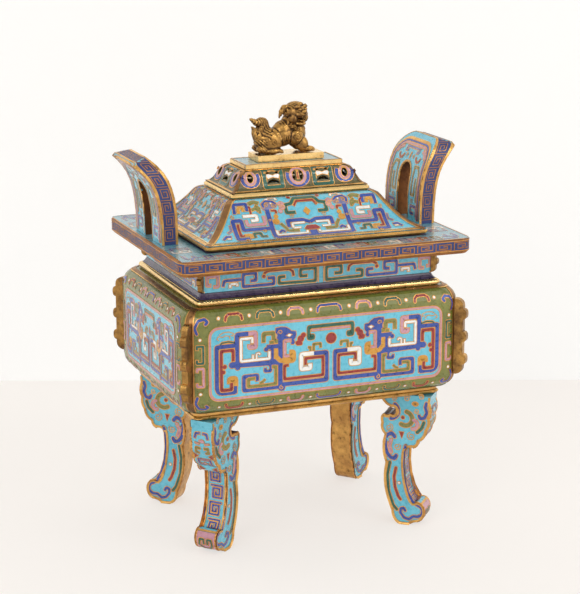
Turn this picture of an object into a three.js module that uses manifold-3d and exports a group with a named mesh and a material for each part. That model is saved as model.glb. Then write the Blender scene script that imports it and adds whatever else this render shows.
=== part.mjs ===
// Rectangular enamelled incense burner on four cabriole legs, with a lift-off pierced lid
// and a gilt lion finial. Millimetres, +Z up, front is -Y, feet stand on z = 0.
import * as THREE from 'three';
import { mergeVertices } from 'three/addons/utils/BufferGeometryUtils.js';
import Module from 'manifold-3d';

const wasm = await Module();
wasm.setup();

// Driving dimensions

const SEAT_GAP = 0.3; // soldered and seated faces stop this far apart
const CORNER_SIGNS = [
  ['front_left', -1, -1],
  ['front_right', 1, -1],
  ['back_right', 1, 1],
  ['back_left', -1, 1],
];

const BODY_HALF_X = 95.9;
const BODY_HALF_Y = 72.6;
const BODY_HEIGHT = 69.5;
const BODY_WALL = 2.6;
const BODY_CORNER_RADIUS = 14.5;
const BODY_EDGE_ROUND = 10.5; // height of the round above and below the flat panels
const BODY_FOOT_INSET = 2.4; // the body's foot stands this far in from the base's edge
const BODY_LEDGE = 1.4; // the body's top stands this far out from the shoulder's edge

const BASE_INSET_X = 9.4; // the base moulding stands this far in from the body's face
const BASE_INSET_Y = 12.1;
const BASE_MOULDING_HEIGHT = 4.8;
const BASE_MOULDING_DEPTH = 1.6;
const BASE_MOULDING_WIDTH = 7;
const BASE_PLATE_THICKNESS = 3;
const BASE_CORNER_RADIUS = 5;

const LEG_HEIGHT = 91;
const LEG_HEAD_THICKNESS = 16;
const LEG_SHAFT_THICKNESS = 14.4;
const LEG_ANGLE = 40; // degrees between a leg's own plane and the long side
const LEG_CORNER_INSET_X = 2.3; // the leg is drawn from a corner point this far inside the base's side
const LEG_CORNER_OUTSET_Y = 2; // and this far outside the base's front
const LEG_SCREW_RADIUS = 2;
const LEG_SCREW_HEAD_RADIUS = 4;
const LEG_SCREW_HEAD_HEIGHT = 2.4;
const LEG_SCREW_SLOT_WIDTH = 1.1;
const LEG_SCREW_SLOT_DEPTH = 0.5;
const LEG_SCREW_DEPTH = 12;
const LEG_SCREW_INSET = 21.5; // along the leg, in from its corner point

const NECK_INSET_X = 16.1; // the neck stands this far in from the body's face
const NECK_INSET_Y = 14.1;
const NECK_HEIGHT = 15;
const NECK_WALL = 2.5;
const NECK_CORNER_RADIUS = 2.5;
const SHOULDER_HEIGHT = 3.7;
const SHOULDER_OVERHANG = 4.4;
const SHOULDER_DEPTH = 2;
const COVE_HEIGHT = 3.4;
const COVE_OVERHANG = 2.2;

const RIM_OVERHANG = 19.4; // past the neck's face
const RIM_THICKNESS = 9.6;
const RIM_CORNER_RADIUS = 8;
const RIM_LOWER_CHAMFER = 1.6;
const RIM_UPPER_CHAMFER = 0.6;
const MOUTH_LEDGE_X = 7.8; // the mouth's edge stands this far in from the neck's face
const MOUTH_LEDGE_Y = 4.5;

const HANDLE_INSET = 4.2; // the handle's foot stands this far in from the rim's end
const HANDLE_THICKNESS = 10.7;
const HANDLE_HALF_WIDTH = 27.5;
const HANDLE_HEIGHT = 56;
const HANDLE_FLARE = 16.4;
const HANDLE_CORNER_RADIUS = 15;
const HANDLE_SLOT_HALF_WIDTH = 8;
const HANDLE_SLOT_HEIGHT = 38;
const TENON_LENGTH = 8;
const TENON_THICKNESS = 5;
const TENON_DEPTH = 5;

const LID_SEAT_X = 4.5; // the lid's edge reaches this far past the mouth
const LID_SEAT_Y = 5.2;
const LID_SEAT_WIDTH = 1.4; // the part of it that rests on the rim
const LID_LIP_HEIGHT = 3.6;
const LID_SHADOW_GAP = 1.2;
const LID_CORNER_RADIUS = 3;
const LID_WALL = 2.6;
const LID_WAIST_HALF_X = 47.8;
const LID_WAIST_HALF_Y = 27;
const LID_SKIRT_HEIGHT = 22.4;
const LID_SKIRT_INSET = 0.6; // the skirt's foot stands this far in from the lip's edge
const COLLAR_CLEARANCE = 0.8;
const COLLAR_WALL = 1.8;
const COLLAR_DEPTH = 8;

const WAIST_MOULDING_HEIGHT = 3;
const WAIST_MOULDING_DEPTH = 0.9;
const WAIST_MOULDING_WIDTH = 4.6;
const WAIST_OVERHANG = 0.6;
const WAIST_CORNER_RADIUS = 2;
const GALLERY_HEIGHT = 12.6;
const GALLERY_WALL = 1.8;
const LID_TOP_HALF_X = 33.4;
const LID_TOP_HALF_Y = 13.8;
const LID_TOP_THICKNESS = 2.8;
const LID_TOP_CORNER_RADIUS = 1.4;
const LID_TOP_OVERHANG = 0.6;

const PLINTH_HALF_X = 23;
const PLINTH_HALF_Y = 9.4;
const PLINTH_HEIGHT = 4.2;
const LION_HEIGHT = 33;
const LION_HEAD_TURN = 65; // degrees from straight ahead towards the front
const STUD_RADIUS = 1.8;
const STUD_X = -13; // the stud enters the lion under its haunches, left of the middle
const STUD_INTO_LION = 6;
const STUD_END = 2; // length of stud left showing under its nut
const NUT_ACROSS_FLATS = 6.5;
const NUT_HEIGHT = 2.8;
const WASHER_RADIUS = 4.5;
const WASHER_THICKNESS = 1;

const FLANGE_THICKNESS = 4.2;
const FLANGE_REACH = 6.4; // out from the body's rounded corner
const FLANGE_BUMP = 2.4;
const FLANGE_BUMP_RADIUS = 3.5;
const FLANGE_BUMP_SPACING = 15.2;
const FLANGE_END_ROUND = 5;
const FLANGE_TOP_INSET = 8; // down from the body's top
const FLANGE_FOOT_INSET = 10.4; // up from the body's foot
const NECK_FLANGE_THICKNESS = 3;
const NECK_FLANGE_REACH = 3.4;
const NECK_FLANGE_BUMP = 1.6;
const NECK_FLANGE_BUMP_RADIUS = 2.2;
const NECK_FLANGE_END_ROUND = 3;

// Half sizes that follow from the body's, from its foot to the lid

const BASE_HALF_X = BODY_HALF_X - BASE_INSET_X;
const BASE_HALF_Y = BODY_HALF_Y - BASE_INSET_Y;
const LEG_CORNER_X = BASE_HALF_X - LEG_CORNER_INSET_X;
const LEG_CORNER_Y = BASE_HALF_Y + LEG_CORNER_OUTSET_Y;
const NECK_HALF_X = BODY_HALF_X - NECK_INSET_X;
const NECK_HALF_Y = BODY_HALF_Y - NECK_INSET_Y;
const RIM_HALF_X = NECK_HALF_X + RIM_OVERHANG;
const RIM_HALF_Y = NECK_HALF_Y + RIM_OVERHANG;
const MOUTH_HALF_X = NECK_HALF_X - MOUTH_LEDGE_X;
const MOUTH_HALF_Y = NECK_HALF_Y - MOUTH_LEDGE_Y;
const LID_HALF_X = MOUTH_HALF_X + LID_SEAT_X;
const LID_HALF_Y = MOUTH_HALF_Y + LID_SEAT_Y;
const HANDLE_X = RIM_HALF_X - HANDLE_INSET;

// Levels, worked out from the sizes above

const BASE_Z = LEG_HEIGHT + SEAT_GAP;
const BODY_Z = BASE_Z + BASE_MOULDING_HEIGHT + SEAT_GAP;
const SHOULDER_Z = BODY_Z + BODY_HEIGHT + SEAT_GAP;
const COVE_Z = SHOULDER_Z + SHOULDER_HEIGHT + SEAT_GAP;
const NECK_Z = COVE_Z + COVE_HEIGHT + SEAT_GAP;
const RIM_Z = NECK_Z + NECK_HEIGHT + SEAT_GAP;
const RIM_TOP_Z = RIM_Z + RIM_THICKNESS;
const LID_Z = RIM_TOP_Z + SEAT_GAP;
const SKIRT_Z = LID_Z + LID_LIP_HEIGHT + SEAT_GAP;
const WAIST_Z = SKIRT_Z + LID_SKIRT_HEIGHT + SEAT_GAP;
const GALLERY_Z = WAIST_Z + WAIST_MOULDING_HEIGHT + SEAT_GAP;
const LID_TOP_Z = GALLERY_Z + GALLERY_HEIGHT + SEAT_GAP;
const PLINTH_Z = LID_TOP_Z + LID_TOP_THICKNESS + SEAT_GAP;
const LION_Z = PLINTH_Z + PLINTH_HEIGHT + SEAT_GAP;

// Materials

function finish(color, roughness, metalness) {
  return new THREE.MeshStandardMaterial({ color, roughness, metalness });
}

const GILT = finish(0xc8913f, 0.32, 1);
const BRIGHT_GILT = finish(0xe2b355, 0.22, 1);
const OLIVE_ENAMEL = finish(0x6f7a3a, 0.25, 0);
const TURQUOISE_ENAMEL = finish(0x6cc0d8, 0.22, 0);
const BLUE_ENAMEL = finish(0x2c4a9c, 0.25, 0);
const PURPLE_ENAMEL = finish(0x4a3f5c, 0.3, 0);

// Geometry helpers

/** Points round a rectangle with rounded corners, anticlockwise from above. */
function roundedRectangle(halfX, halfY, radius, arcSteps) {
  const corners = [[1, 1, 0], [-1, 1, 90], [-1, -1, 180], [1, -1, 270]];
  const points = [];
  for (const [signX, signY, startDegrees] of corners) {
    for (let step = 0; step <= arcSteps; step += 1) {
      const angle = THREE.MathUtils.degToRad(startDegrees + (90 * step) / arcSteps);
      const x = signX * (halfX - radius) + radius * Math.cos(angle);
      const y = signY * (halfY - radius) + radius * Math.sin(angle);
      points.push([x, y]);
    }
  }
  return points;
}

/**
 * A skin through a stack of rounded rectangles. Sections hold x, y (half sizes), r and z.
 * A ring's last section joins its first; a stack is capped at both ends.
 */
function loft(sections, isRing, arcSteps = 3) {
  const loops = sections.map((s) => roundedRectangle(s.x, s.y, s.r, arcSteps));
  const stations = loops[0].length;
  const positions = [];
  loops.forEach((loop, row) => {
    loop.forEach(([x, y]) => positions.push(x, y, sections[row].z));
  });
  const indices = [];
  const rows = isRing ? loops.length : loops.length - 1;
  for (let row = 0; row < rows; row += 1) {
    const next = (row + 1) % loops.length;
    for (let station = 0; station < stations; station += 1) {
      const ahead = (station + 1) % stations;
      const a = row * stations + station;
      const b = row * stations + ahead;
      const c = next * stations + ahead;
      const d = next * stations + station;
      indices.push(a, b, c, a, c, d);
    }
  }
  if (!isRing) {
    const last = (loops.length - 1) * stations;
    for (let station = 1; station < stations - 1; station += 1) {
      indices.push(0, station + 1, station);
      indices.push(last, last + station, last + station + 1);
    }
  }
  const geometry = new THREE.BufferGeometry();
  geometry.setAttribute('position', new THREE.Float32BufferAttribute(positions, 3));
  geometry.setIndex(indices);
  return geometry;
}

/** Turns a closed geometry into a solid that can be cut and joined. */
function toSolid(geometry) {
  const bare = geometry.clone();
  bare.deleteAttribute('normal');
  bare.deleteAttribute('uv');
  const merged = mergeVertices(bare, 1e-4);
  return new wasm.Manifold(new wasm.Mesh({
    numProp: 3,
    vertProperties: Float32Array.from(merged.attributes.position.array),
    triVerts: Uint32Array.from(merged.index.array),
  }));
}

function toGeometry(solid) {
  const mesh = solid.getMesh();
  const geometry = new THREE.BufferGeometry();
  geometry.setAttribute('position', new THREE.BufferAttribute(mesh.vertProperties, 3));
  geometry.setIndex(new THREE.BufferAttribute(mesh.triVerts, 1));
  return geometry;
}

function box(sizeX, sizeY, sizeZ, x, y, z) {
  return new THREE.BoxGeometry(sizeX, sizeY, sizeZ).translate(x, y, z);
}

/** A cylinder standing on z = low, along Z. */
function pillar(radius, low, high, x, y, sides = 16) {
  const geometry = new THREE.CylinderGeometry(radius, radius, high - low, sides);
  return geometry.rotateX(Math.PI / 2).translate(x, y, (low + high) / 2);
}

/** Extrudes a shape drawn in (outward, z) by the thickness, centred on its own plane. */
function slab(shape, thickness, curveSegments) {
  const geometry = new THREE.ExtrudeGeometry(shape, {
    depth: thickness,
    bevelEnabled: false,
    curveSegments,
  });
  // The shape's x stays x, its y becomes z, and the thickness runs along y.
  return geometry.translate(0, 0, -thickness / 2).rotateX(Math.PI / 2);
}

function named(name, geometry, material) {
  const mesh = new THREE.Mesh(geometry, material);
  mesh.name = name;
  return mesh;
}

/**
 * Rows of a moulding's face, running upwards. Each share row is the share of the depth that
 * the face stands in, and the share of the height that it stands up.
 */
function mouldingRows(low, height, depthX, depthY, shares) {
  return shares.map(([inset, rise]) => ({
    insetX: depthX * inset, insetY: depthY * inset, z: low + height * rise,
  }));
}

/** A ring of constant wall, from an outline of {insetX, insetY, z} rows running upwards. */
function shellRing(halfX, halfY, radius, outline, wall, arcSteps = 3) {
  const outer = outline.map(({ insetX, insetY, z }) => ({
    x: halfX - insetX, y: halfY - insetY, r: radius, z,
  }));
  const inner = outer.map((s) => ({
    x: s.x - wall, y: s.y - wall, r: Math.max(radius - wall, 0.8), z: s.z,
  })).reverse();
  return loft([...outer, ...inner], true, arcSteps);
}

// Legs

/**
 * The cloud-shaped head seen from the side, in hundredths of the leg's height: x runs
 * outwards along the leg's plane from its corner point, and the wing at the inner end curls
 * over a round throat.
 */
function legHeadShape() {
  const shape = new THREE.Shape();
  shape.moveTo(-41.3, 100);
  shape.lineTo(-41.3, 96.7);
  shape.quadraticCurveTo(-37.8, 90.8, -33.6, 90.3); // wing under the base
  shape.absarc(-32.3, 87, 3.3, 1.9, -2.2, true); // throat of the curl
  shape.quadraticCurveTo(-37.1, 82.4, -39.1, 84.2);
  shape.quadraticCurveTo(-42.2, 82.4, -40.7, 77.6);
  shape.quadraticCurveTo(-42.2, 72.5, -38.2, 68.8);
  shape.lineTo(-36.3, 63.7);
  shape.lineTo(-16.5, 59.8);
  shape.quadraticCurveTo(-12.7, 61.3, -12.5, 65.3); // lobes of the outer edge
  shape.quadraticCurveTo(-7.5, 67.5, -6.6, 74.1);
  shape.quadraticCurveTo(-3.5, 78.5, -4.8, 83.5);
  shape.quadraticCurveTo(-2.2, 87.9, -4.4, 94.5);
  shape.lineTo(-4, 100);
  shape.closePath();
  return shape;
}

/** The shaft and its scrolled foot, in the same units: a cusped lobe, then one long sweep. */
function legShaftShape() {
  const shape = new THREE.Shape();
  shape.moveTo(-38.2, 68.8);
  shape.quadraticCurveTo(-41.8, 57.1, -37.4, 47.3); // lobe behind the knee
  shape.bezierCurveTo(-40.2, 34.1, -38, 23.1, -32.5, 10.5);
  shape.bezierCurveTo(-32.3, 4.4, -29.2, 0.7, -25.9, 0);
  shape.lineTo(-19.3, 0); // sole
  shape.quadraticCurveTo(-16.5, 2.6, -12.7, 2.9);
  shape.bezierCurveTo(-7.3, 4, -5.1, 13.6, -10.1, 17.1); // toe scroll
  shape.quadraticCurveTo(-13.2, 18.9, -16.3, 16.9);
  shape.bezierCurveTo(-21.1, 19.3, -25.5, 42.9, -23.7, 55.6);
  shape.quadraticCurveTo(-22.2, 60.9, -16.5, 62);
  shape.lineTo(-16.5, 68.8);
  shape.closePath();
  return shape;
}

function legGeometry(cornerX, cornerY, angle) {
  const unit = LEG_HEIGHT / 100;
  const head = toSolid(slab(legHeadShape(), LEG_HEAD_THICKNESS, 4).scale(unit, 1, unit));
  const shaft = toSolid(slab(legShaftShape(), LEG_SHAFT_THICKNESS, 5).scale(unit, 1, unit));
  const boreRadius = LEG_SCREW_RADIUS + SEAT_GAP;
  const boreFloor = LEG_HEIGHT - LEG_SCREW_DEPTH - SEAT_GAP;
  const bore = toSolid(pillar(boreRadius, boreFloor, LEG_HEIGHT + 1, -LEG_SCREW_INSET, 0));
  const leg = toGeometry(head.add(shaft).subtract(bore));
  return leg.rotateZ(angle).translate(cornerX, cornerY, 0);
}

function screwPlace(signX, signY) {
  const turn = THREE.MathUtils.degToRad(LEG_ANGLE);
  const x = LEG_CORNER_X - LEG_SCREW_INSET * Math.cos(turn);
  const y = LEG_CORNER_Y - LEG_SCREW_INSET * Math.sin(turn);
  return [signX * x, signY * y];
}

function buildLegs(group) {
  const turn = THREE.MathUtils.degToRad(LEG_ANGLE);
  for (const [name, signX, signY] of CORNER_SIGNS) {
    const angle = Math.atan2(signY * Math.sin(turn), signX * Math.cos(turn));
    const leg = legGeometry(signX * LEG_CORNER_X, signY * LEG_CORNER_Y, angle);
    group.add(named(`leg_${name}`, leg, TURQUOISE_ENAMEL));
    const [x, y] = screwPlace(signX, signY);
    const plateTop = BASE_Z + BASE_PLATE_THICKNESS + SEAT_GAP;
    const headTop = plateTop + LEG_SCREW_HEAD_HEIGHT;
    const headMiddle = (plateTop + headTop) / 2;
    const shank = toSolid(pillar(LEG_SCREW_RADIUS, LEG_HEIGHT - LEG_SCREW_DEPTH, headMiddle, x, y));
    const head = toSolid(pillar(LEG_SCREW_HEAD_RADIUS, plateTop, headTop, x, y));
    const slotCut = toSolid(box(3 * LEG_SCREW_HEAD_RADIUS, LEG_SCREW_SLOT_WIDTH,
      2 * LEG_SCREW_SLOT_DEPTH, x, y, headTop));
    group.add(named(`leg_screw_${name}`, toGeometry(head.subtract(slotCut).add(shank)), GILT));
  }
}

// Body

function buildBase(group) {
  const top = BASE_Z + BASE_MOULDING_HEIGHT;
  const depth = BASE_MOULDING_DEPTH;
  const face = mouldingRows(BASE_Z, BASE_MOULDING_HEIGHT, depth, depth, [
    [1, 0], [0.19, 0.15], [0, 0.33], [0.31, 0.5], [0.81, 0.57], [0.81, 1],
  ]);
  const outer = face.map(({ insetX, insetY, z }) => ({
    x: BASE_HALF_X - insetX, y: BASE_HALF_Y - insetY, r: BASE_CORNER_RADIUS, z,
  }));
  const ringX = BASE_HALF_X - BASE_MOULDING_WIDTH;
  const ringY = BASE_HALF_Y - BASE_MOULDING_WIDTH;
  const ringRadius = BASE_CORNER_RADIUS / 2;
  const inner = [
    { x: ringX, y: ringY, r: ringRadius, z: top },
    { x: ringX, y: ringY, r: ringRadius, z: BASE_Z },
  ];
  group.add(named('base_moulding', loft([...outer, ...inner], true), GILT));

  const plateX = ringX - SEAT_GAP;
  const plateY = ringY - SEAT_GAP;
  const plate = toSolid(loft([
    { x: plateX, y: plateY, r: ringRadius, z: BASE_Z },
    { x: plateX, y: plateY, r: ringRadius, z: BASE_Z + BASE_PLATE_THICKNESS },
  ], false));
  let drilled = plate;
  for (const [, signX, signY] of CORNER_SIGNS) {
    const [x, y] = screwPlace(signX, signY);
    const hole = pillar(LEG_SCREW_RADIUS + SEAT_GAP, BASE_Z - 1, BASE_Z + BASE_PLATE_THICKNESS + 1, x, y);
    drilled = drilled.subtract(toSolid(hole));
  }
  group.add(named('base_plate', toGeometry(drilled), GILT));
}

/** Quarter rounds under and over the flat panels, from the foot to the ledge at the top. */
function bodyOutline() {
  const footInsetX = BODY_HALF_X - BASE_HALF_X + BODY_FOOT_INSET;
  const footInsetY = BODY_HALF_Y - BASE_HALF_Y + BODY_FOOT_INSET;
  const topInsetX = BODY_HALF_X - NECK_HALF_X - SHOULDER_OVERHANG - BODY_LEDGE;
  const topInsetY = BODY_HALF_Y - NECK_HALF_Y - SHOULDER_OVERHANG - BODY_LEDGE;
  const steps = 5;
  const round = [];
  for (let step = 0; step <= steps; step += 1) {
    const angle = (Math.PI / 2) * (step / steps);
    round.push([1 - Math.sin(angle), 1 - Math.cos(angle)]);
  }
  const foot = mouldingRows(BODY_Z, BODY_EDGE_ROUND, footInsetX, footInsetY, round);
  const top = mouldingRows(BODY_Z + BODY_HEIGHT, -BODY_EDGE_ROUND, topInsetX, topInsetY, round);
  return [...foot, ...top.reverse()];
}

/**
 * The shell of the body, turned in at the top to a ledge that carries the shoulder. Its
 * corners tighten as it draws in above and below the flat panels.
 */
function bodyGeometry() {
  const top = BODY_Z + BODY_HEIGHT;
  const outer = bodyOutline().map(({ insetX, insetY, z }) => ({
    x: BODY_HALF_X - insetX,
    y: BODY_HALF_Y - insetY,
    r: Math.max(BODY_CORNER_RADIUS - 0.8 * Math.min(insetX, insetY), 2 * BODY_WALL * 0.8),
    z,
  }));
  const mouthX = NECK_HALF_X - NECK_WALL;
  const mouthY = NECK_HALF_Y - NECK_WALL;
  const ledge = [
    { x: mouthX, y: mouthY, r: NECK_CORNER_RADIUS, z: top },
    { x: mouthX, y: mouthY, r: NECK_CORNER_RADIUS, z: top - BODY_WALL },
  ];
  const inner = outer.filter((s) => s.z < top - BODY_WALL * 1.2).map((s) => ({
    x: s.x - BODY_WALL, y: s.y - BODY_WALL, r: s.r - BODY_WALL, z: s.z,
  })).reverse();
  return loft([...outer, ...ledge, ...inner], true, 4);
}

function buildBody(group) {
  group.add(named('vessel_body', bodyGeometry(), OLIVE_ENAMEL));

  const shoulderX = NECK_HALF_X + SHOULDER_OVERHANG;
  const shoulderY = NECK_HALF_Y + SHOULDER_OVERHANG;
  const shoulder = mouldingRows(SHOULDER_Z, SHOULDER_HEIGHT, SHOULDER_DEPTH, SHOULDER_DEPTH, [
    [0.45, 0], [0, 0.24], [0.15, 0.54], [0.65, 0.78], [1, 1],
  ]);
  const shoulderRing = shellRing(shoulderX, shoulderY, NECK_CORNER_RADIUS * 1.6, shoulder,
    SHOULDER_OVERHANG + NECK_WALL - SHOULDER_DEPTH);
  group.add(named('shoulder_moulding', shoulderRing, BRIGHT_GILT));

  const coveX = NECK_HALF_X + COVE_OVERHANG;
  const coveY = NECK_HALF_Y + COVE_OVERHANG;
  const cove = mouldingRows(COVE_Z, COVE_HEIGHT, COVE_OVERHANG, COVE_OVERHANG, [
    [0, 0], [0.5, 0.32], [0.82, 0.68], [1, 1],
  ]);
  const coveRing = shellRing(coveX, coveY, NECK_CORNER_RADIUS * 1.2, cove, NECK_WALL);
  group.add(named('neck_cove', coveRing, PURPLE_ENAMEL));

  const neck = mouldingRows(NECK_Z, NECK_HEIGHT, 0, 0, [[0, 0], [0, 1]]);
  const neckRing = shellRing(NECK_HALF_X, NECK_HALF_Y, NECK_CORNER_RADIUS, neck, NECK_WALL);
  group.add(named('neck_band', neckRing, TURQUOISE_ENAMEL));
}

/**
 * A notched rib seen from the side: x runs outwards from the corner it stands on. Sizes hold
 * root, reach, low, high, the bumps' levels, their radius and bump, and the round of the ends.
 */
function flangeShape({ root, reach, low, high, levels, radius, bump, round }) {
  const shape = new THREE.Shape();
  shape.moveTo(root, low);
  shape.lineTo(reach * 0.3, low);
  shape.quadraticCurveTo(reach, low + round * 0.2, reach, low + round);
  for (const z of levels) {
    shape.lineTo(reach, z - radius);
    shape.quadraticCurveTo(reach + bump, z - radius, reach + bump, z);
    shape.quadraticCurveTo(reach + bump, z + radius, reach, z + radius);
  }
  shape.lineTo(reach, high - round);
  shape.quadraticCurveTo(reach, high - round * 0.2, reach * 0.3, high);
  shape.lineTo(root, high);
  shape.closePath();
  return shape;
}

/** How far in along X and along Y a rounded corner's middle lies from the sharp corner. */
function cornerInset(radius) {
  return radius * (1 - Math.SQRT1_2);
}

function buildFlanges(group) {
  const low = BODY_Z + FLANGE_FOOT_INSET;
  const high = BODY_Z + BODY_HEIGHT - FLANGE_TOP_INSET;
  const middle = (low + high) / 2;
  const body = slab(flangeShape({
    root: SEAT_GAP,
    reach: FLANGE_REACH,
    low,
    high,
    levels: [middle - FLANGE_BUMP_SPACING, middle, middle + FLANGE_BUMP_SPACING],
    radius: FLANGE_BUMP_RADIUS,
    bump: FLANGE_BUMP,
    round: FLANGE_END_ROUND,
  }), FLANGE_THICKNESS, 4);
  const neck = slab(flangeShape({
    root: SEAT_GAP,
    reach: NECK_FLANGE_REACH,
    low: NECK_Z + SEAT_GAP,
    high: NECK_Z + NECK_HEIGHT - SEAT_GAP,
    levels: [NECK_Z + NECK_HEIGHT / 2],
    radius: NECK_FLANGE_BUMP_RADIUS,
    bump: NECK_FLANGE_BUMP,
    round: NECK_FLANGE_END_ROUND,
  }), NECK_FLANGE_THICKNESS, 3);
  const bodyX = BODY_HALF_X - cornerInset(BODY_CORNER_RADIUS);
  const bodyY = BODY_HALF_Y - cornerInset(BODY_CORNER_RADIUS);
  const neckX = NECK_HALF_X - cornerInset(NECK_CORNER_RADIUS);
  const neckY = NECK_HALF_Y - cornerInset(NECK_CORNER_RADIUS);
  for (const [name, signX, signY] of CORNER_SIGNS) {
    const angle = Math.atan2(signY, signX);
    const bodyFlange = body.clone().rotateZ(angle).translate(signX * bodyX, signY * bodyY, 0);
    group.add(named(`body_flange_${name}`, bodyFlange, GILT));
    const neckFlange = neck.clone().rotateZ(angle).translate(signX * neckX, signY * neckY, 0);
    group.add(named(`neck_flange_${name}`, neckFlange, GILT));
  }
}

// Rim and handles

function tenonPlaces(side) {
  const x = side * (HANDLE_X - HANDLE_THICKNESS / 2);
  const y = (HANDLE_SLOT_HALF_WIDTH + HANDLE_HALF_WIDTH) / 2;
  return [[x, y], [x, -y]];
}

function buildRim(group) {
  const edge = (chamfer, z) => ({
    x: RIM_HALF_X - chamfer, y: RIM_HALF_Y - chamfer, r: RIM_CORNER_RADIUS - chamfer, z,
  });
  const sections = [
    edge(RIM_LOWER_CHAMFER, RIM_Z),
    edge(0, RIM_Z + RIM_LOWER_CHAMFER),
    edge(0, RIM_TOP_Z - RIM_UPPER_CHAMFER),
    edge(RIM_UPPER_CHAMFER, RIM_TOP_Z),
    { x: MOUTH_HALF_X, y: MOUTH_HALF_Y, r: NECK_CORNER_RADIUS, z: RIM_TOP_Z },
    { x: MOUTH_HALF_X, y: MOUTH_HALF_Y, r: NECK_CORNER_RADIUS, z: RIM_Z },
  ];
  let rim = toSolid(loft(sections, true, 5));
  for (const side of [-1, 1]) {
    for (const [x, y] of tenonPlaces(side)) {
      const mortise = box(TENON_THICKNESS + 2 * SEAT_GAP, TENON_LENGTH + 2 * SEAT_GAP,
        TENON_DEPTH + 2 * SEAT_GAP, x, y, RIM_TOP_Z - TENON_DEPTH / 2 + SEAT_GAP);
      rim = rim.subtract(toSolid(mortise));
    }
  }
  group.add(named('rim', toGeometry(rim), BLUE_ENAMEL));
}

/** The handle seen from the front, at the right side: a plate that leans out at the top. */
function handleProfile() {
  const low = RIM_TOP_Z + SEAT_GAP;
  const inner = HANDLE_X - HANDLE_THICKNESS;
  // A place at a share of the flare out from a face, and a share of the height up.
  const at = (face, out, up) => [face + HANDLE_FLARE * out, RIM_TOP_Z + HANDLE_HEIGHT * up];
  const shape = new THREE.Shape();
  shape.moveTo(inner, low);
  shape.lineTo(HANDLE_X, low);
  shape.lineTo(...at(HANDLE_X, 0.025, 0.255));
  shape.bezierCurveTo(...at(HANDLE_X, 0.1, 0.61), ...at(HANDLE_X, 0.37, 0.77), ...at(HANDLE_X, 1, 0.918));
  shape.lineTo(...at(HANDLE_X, 0.94, 0.957));
  shape.lineTo(...at(inner, 1.04, 1));
  shape.bezierCurveTo(...at(inner, 0.3, 0.82), ...at(inner, 0.075, 0.61), ...at(inner, 0.012, 0.29));
  shape.closePath();
  return shape;
}

/** The handle seen from the side: an arch with rounded shoulders, and its slot. */
function archShape(halfWidth, height, cornerRadius) {
  const shape = new THREE.Shape();
  shape.moveTo(-halfWidth, 0);
  shape.lineTo(halfWidth, 0);
  shape.lineTo(halfWidth, height - cornerRadius);
  shape.absarc(halfWidth - cornerRadius, height - cornerRadius, cornerRadius, 0, Math.PI / 2, false);
  shape.absarc(-halfWidth + cornerRadius, height - cornerRadius, cornerRadius, Math.PI / 2, Math.PI, false);
  shape.closePath();
  return shape;
}

function buildHandles(group) {
  const low = RIM_TOP_Z + SEAT_GAP;
  const reach = 4 * (HANDLE_THICKNESS + HANDLE_FLARE);
  const plate = toSolid(slab(handleProfile(), 3 * HANDLE_HALF_WIDTH, 7));
  const across = (shape, segments, z) => {
    const geometry = new THREE.ExtrudeGeometry(shape, {
      depth: reach, bevelEnabled: false, curveSegments: segments,
    });
    // The shape's x becomes y, its y becomes z, and the depth runs along x.
    return toSolid(geometry.rotateX(Math.PI / 2).rotateZ(Math.PI / 2).translate(HANDLE_X - reach / 2, 0, z));
  };
  const cornerRadius = Math.min(HANDLE_CORNER_RADIUS, HANDLE_HALF_WIDTH);
  const arch = across(archShape(HANDLE_HALF_WIDTH, HANDLE_HEIGHT + SEAT_GAP, cornerRadius), 6, RIM_TOP_Z);
  const slotRadius = HANDLE_SLOT_HALF_WIDTH * 0.975;
  const slot = across(archShape(HANDLE_SLOT_HALF_WIDTH, HANDLE_SLOT_HEIGHT, slotRadius), 5, RIM_TOP_Z);
  let handle = plate.intersect(arch).subtract(slot);
  for (const [x, y] of tenonPlaces(1)) {
    const tenon = box(TENON_THICKNESS, TENON_LENGTH, 2 * TENON_DEPTH, x, y, low);
    handle = handle.add(toSolid(tenon));
  }
  const right = toGeometry(handle);
  const left = right.clone().rotateZ(Math.PI);
  group.add(named('handle_left', left, TURQUOISE_ENAMEL));
  group.add(named('handle_right', right, TURQUOISE_ENAMEL));
}

// Lid

/** The skirt's height at a share of the way in from its edge, measured from its foot. */
function skirtOutline() {
  // Each row is the share of the inset and the share of the height.
  const curve = new THREE.CatmullRomCurve3([
    new THREE.Vector3(0, 0, 0),
    new THREE.Vector3(0.15, 0.055, 0),
    new THREE.Vector3(0.34, 0.21, 0),
    new THREE.Vector3(0.53, 0.45, 0),
    new THREE.Vector3(0.7, 0.72, 0),
    new THREE.Vector3(0.8, 0.9, 0),
    new THREE.Vector3(0.87, 0.975, 0),
    new THREE.Vector3(1, 1, 0),
  ]);
  return curve.getPoints(9);
}

/** The skirt's outer face, from its foot on the lip to the waist moulding's seat. */
function skirtFace() {
  const runX = LID_HALF_X - LID_SKIRT_INSET - LID_WAIST_HALF_X;
  const runY = LID_HALF_Y - LID_SKIRT_INSET - LID_WAIST_HALF_Y;
  return skirtOutline().map((share) => ({
    x: LID_HALF_X - LID_SKIRT_INSET - runX * share.x,
    y: LID_HALF_Y - LID_SKIRT_INSET - runY * share.x,
    r: WAIST_CORNER_RADIUS,
    z: SKIRT_Z + LID_SKIRT_HEIGHT * share.y,
  }));
}

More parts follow.
